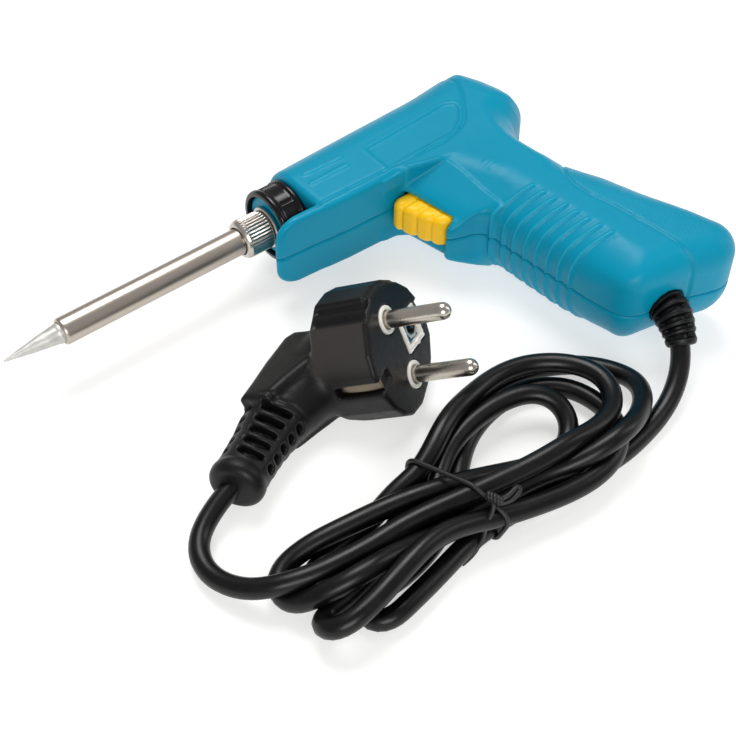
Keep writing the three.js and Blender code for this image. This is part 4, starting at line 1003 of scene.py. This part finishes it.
def tie_loop(shift, skew, r):
    """Hull of the strands where a slightly turned plane crosses them, as a loop in plan mm."""
    n2 = tn * math.cos(skew) + tu * math.sin(skew)
    u2 = tu * math.cos(skew) - tn * math.sin(skew)
    d = (route[:, :2] - mid) @ n2 - shift
    pts = []
    for i in np.nonzero(np.sign(d[1:]) != np.sign(d[:-1]))[0]:
        t = d[i] / (d[i] - d[i + 1])
        p = route[i] * (1 - t) + route[i + 1] * t
        uu = (p[:2] - mid) @ u2
        if abs(uu) < 24:
            pts += [(uu + (CORD_D / 2 + r) * math.cos(a), max(r, p[2] + (CORD_D / 2 + r) * math.sin(a))) for a in np.linspace(0, 2 * math.pi, 40)]
    hp = hull(np.array(pts))
    hp = np.vstack([hp, hp[:1]])
    s = np.r_[0, np.cumsum(np.linalg.norm(np.diff(hp, axis=0), axis=1))]
    q = np.linspace(0, s[-1], 150)
    uu, zz = np.interp(q, s, hp[:, 0]), np.interp(q, s, hp[:, 1])
    return np.column_stack([mid[0] + uu * u2[0] + shift * n2[0], mid[1] + uu * u2[1] + shift * n2[1], np.maximum(zz, r + 0.05)])


def roll_to(loop, p):
    k = int(np.argmin(np.linalg.norm(loop - p, axis=1)))
    return np.vstack([loop[k:-1], loop[:k + 1]])


TW = 0.62
knot = np.array([-2.3, -112.2, 8.0])
wire = roll_to(tie_loop(0.0, 0.0, TW), knot)
k = np.exp(-0.5 * (np.arange(-4, 5) / 1.6) ** 2)
k /= k.sum()
pad = np.vstack([wire[:1].repeat(4, 0), wire, wire[-1:].repeat(4, 0)])
wire = np.column_stack([np.convolve(pad[:, c], k, "valid") for c in range(3)])
wire = smooth_path(wire[::2], 0.8)
v, q = tube(wire, TW, 10)
piece("tie_wire", P(v), q, "tie", "housing", ("cord_tie",))
top_ = wire[wire[:, 2] > 6.0]
lift_ = top_[int(np.argmin(np.linalg.norm(top_[:, :2] - knot[:2], axis=1)))] - knot + np.array([0, 0, 0.9])
# knot: the two ends twisted together, one bent back in a loop, one long tail
ends = np.array([[-2.0, -113.6, 8.8], [-4.0, -115.8, 9.0], [-6.6, -116.3, 6.0], [-8.5, -116.6, 2.4], [-12.2, -117.2, 0.8], [-16.3, -117.3, 0.8]], float)
ends = ends + lift_ * np.linspace(1, 0, len(ends))[:, None]
loop_ = np.array([[-1.2, -115.4, 8.8], [1.1, -116.1, 9.6], [4.3, -115.6, 9.8], [4.4, -116.6, 9.2], [1.7, -117.0, 8.4], [-0.5, -116.2, 7.8], [-1.9, -115.1, 7.4]], float) + lift_
twist = []
base = np.array([[-2.6, -112.5, 9.0], [-2.0, -114.4, 9.2], [-1.1, -116.1, 8.6]], float) + lift_
tp = smooth_path(base, 0.15)
_, A_, B_ = frames(tp)
for sgn in (0, math.pi):
    a = np.linspace(0, 5.0 * math.pi, len(tp)) + sgn
    w_ = tp + 0.66 * (np.cos(a)[:, None] * A_ + np.sin(a)[:, None] * B_)
    v, q = tube(w_, TW * 0.95, 10)
    piece("tie_twist_%d" % (1 if sgn else 0), P(v), q, "tie", "housing")
for nm, pth in (("tie_tail", ends), ("tie_bow", loop_)):
    v, q = tube(smooth_path(pth, 0.5), TW * 0.95, 10)
    piece(nm, P(v), q, "tie", "housing")


# ------------------------------------------------------------------ the rest of the CAD nodes
for name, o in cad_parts.items():
    if o.hide_render:
        continue
    slot_name = o.data.materials[0].name.split(".")[0] if o.data.materials and o.data.materials[0] else ""
    o.data.materials.clear()
    o.data.materials.append(M[SLOT_OF.get(slot_name, "relief")])


# ------------------------------------------------------------------ table top, light
def floor():
    me = bpy.data.meshes.new("table_top")
    n = 9
    xs = np.linspace(-3, 3, n)
    vs = [(x, y, 0.0) for x in xs for y in xs]
    fs = [(i * n + j, (i + 1) * n + j, (i + 1) * n + j + 1, i * n + j + 1) for i in range(n - 1) for j in range(n - 1)]
    me.from_pydata(vs, [], fs)
    m = material("table_white", (192, 192, 191), rough=0.75, vary=0.0, vary_scale=4, rough_vary=0.03, grain=900,
                 grain_depth=0.00001, grain_strength=0.05, spec=0.15)
    for nd in m.node_tree.nodes:
        if nd.type == "BSDF_PRINCIPLED":
            nd.inputs["Emission Color"].default_value = (1, 1, 0.99, 1)
            nd.inputs["Emission Strength"].default_value = 0.56
    me.materials.append(m)
    o = bpy.data.objects.new("table_top", me)
    bpy.context.scene.collection.objects.link(o)


floor()


def area(name, at, aim, size, power, colour=(1, 1, 1), size_y=None):
    d = bpy.data.lights.new(name, "AREA")
    d.energy = power
    d.color = colour
    d.size = size
    if size_y:
        d.shape = "RECTANGLE"
        d.size_y = size_y
    o = bpy.data.objects.new(name, d)
    bpy.context.scene.collection.objects.link(o)
    v = Vector(aim) - Vector(at)
    o.location = at
    o.rotation_euler = v.to_track_quat("-Z", "Y").to_euler()


area("top_box", (0.22, 0.42, 1.05), (0, 0, 0), 0.6, 9.2, size_y=0.6)
area("front_box", (-0.55, -0.85, 0.6), (0, 0, 0.01), 0.7, 7.2, size_y=0.5)
area("side_box", (0.85, -0.45, 0.6), (0, 0, 0.01), 0.3, 2.0, size_y=0.8)
world = bpy.data.worlds.new("studio")
bpy.context.scene.world = world
world.use_nodes = True
bg = world.node_tree.nodes.get("Background") or world.node_tree.nodes.new("ShaderNodeBackground")
bg.inputs["Color"].default_value = (1, 1, 1, 1)
bg.inputs["Strength"].default_value = 0.34
bpy.context.scene.view_settings.view_transform = "Standard"
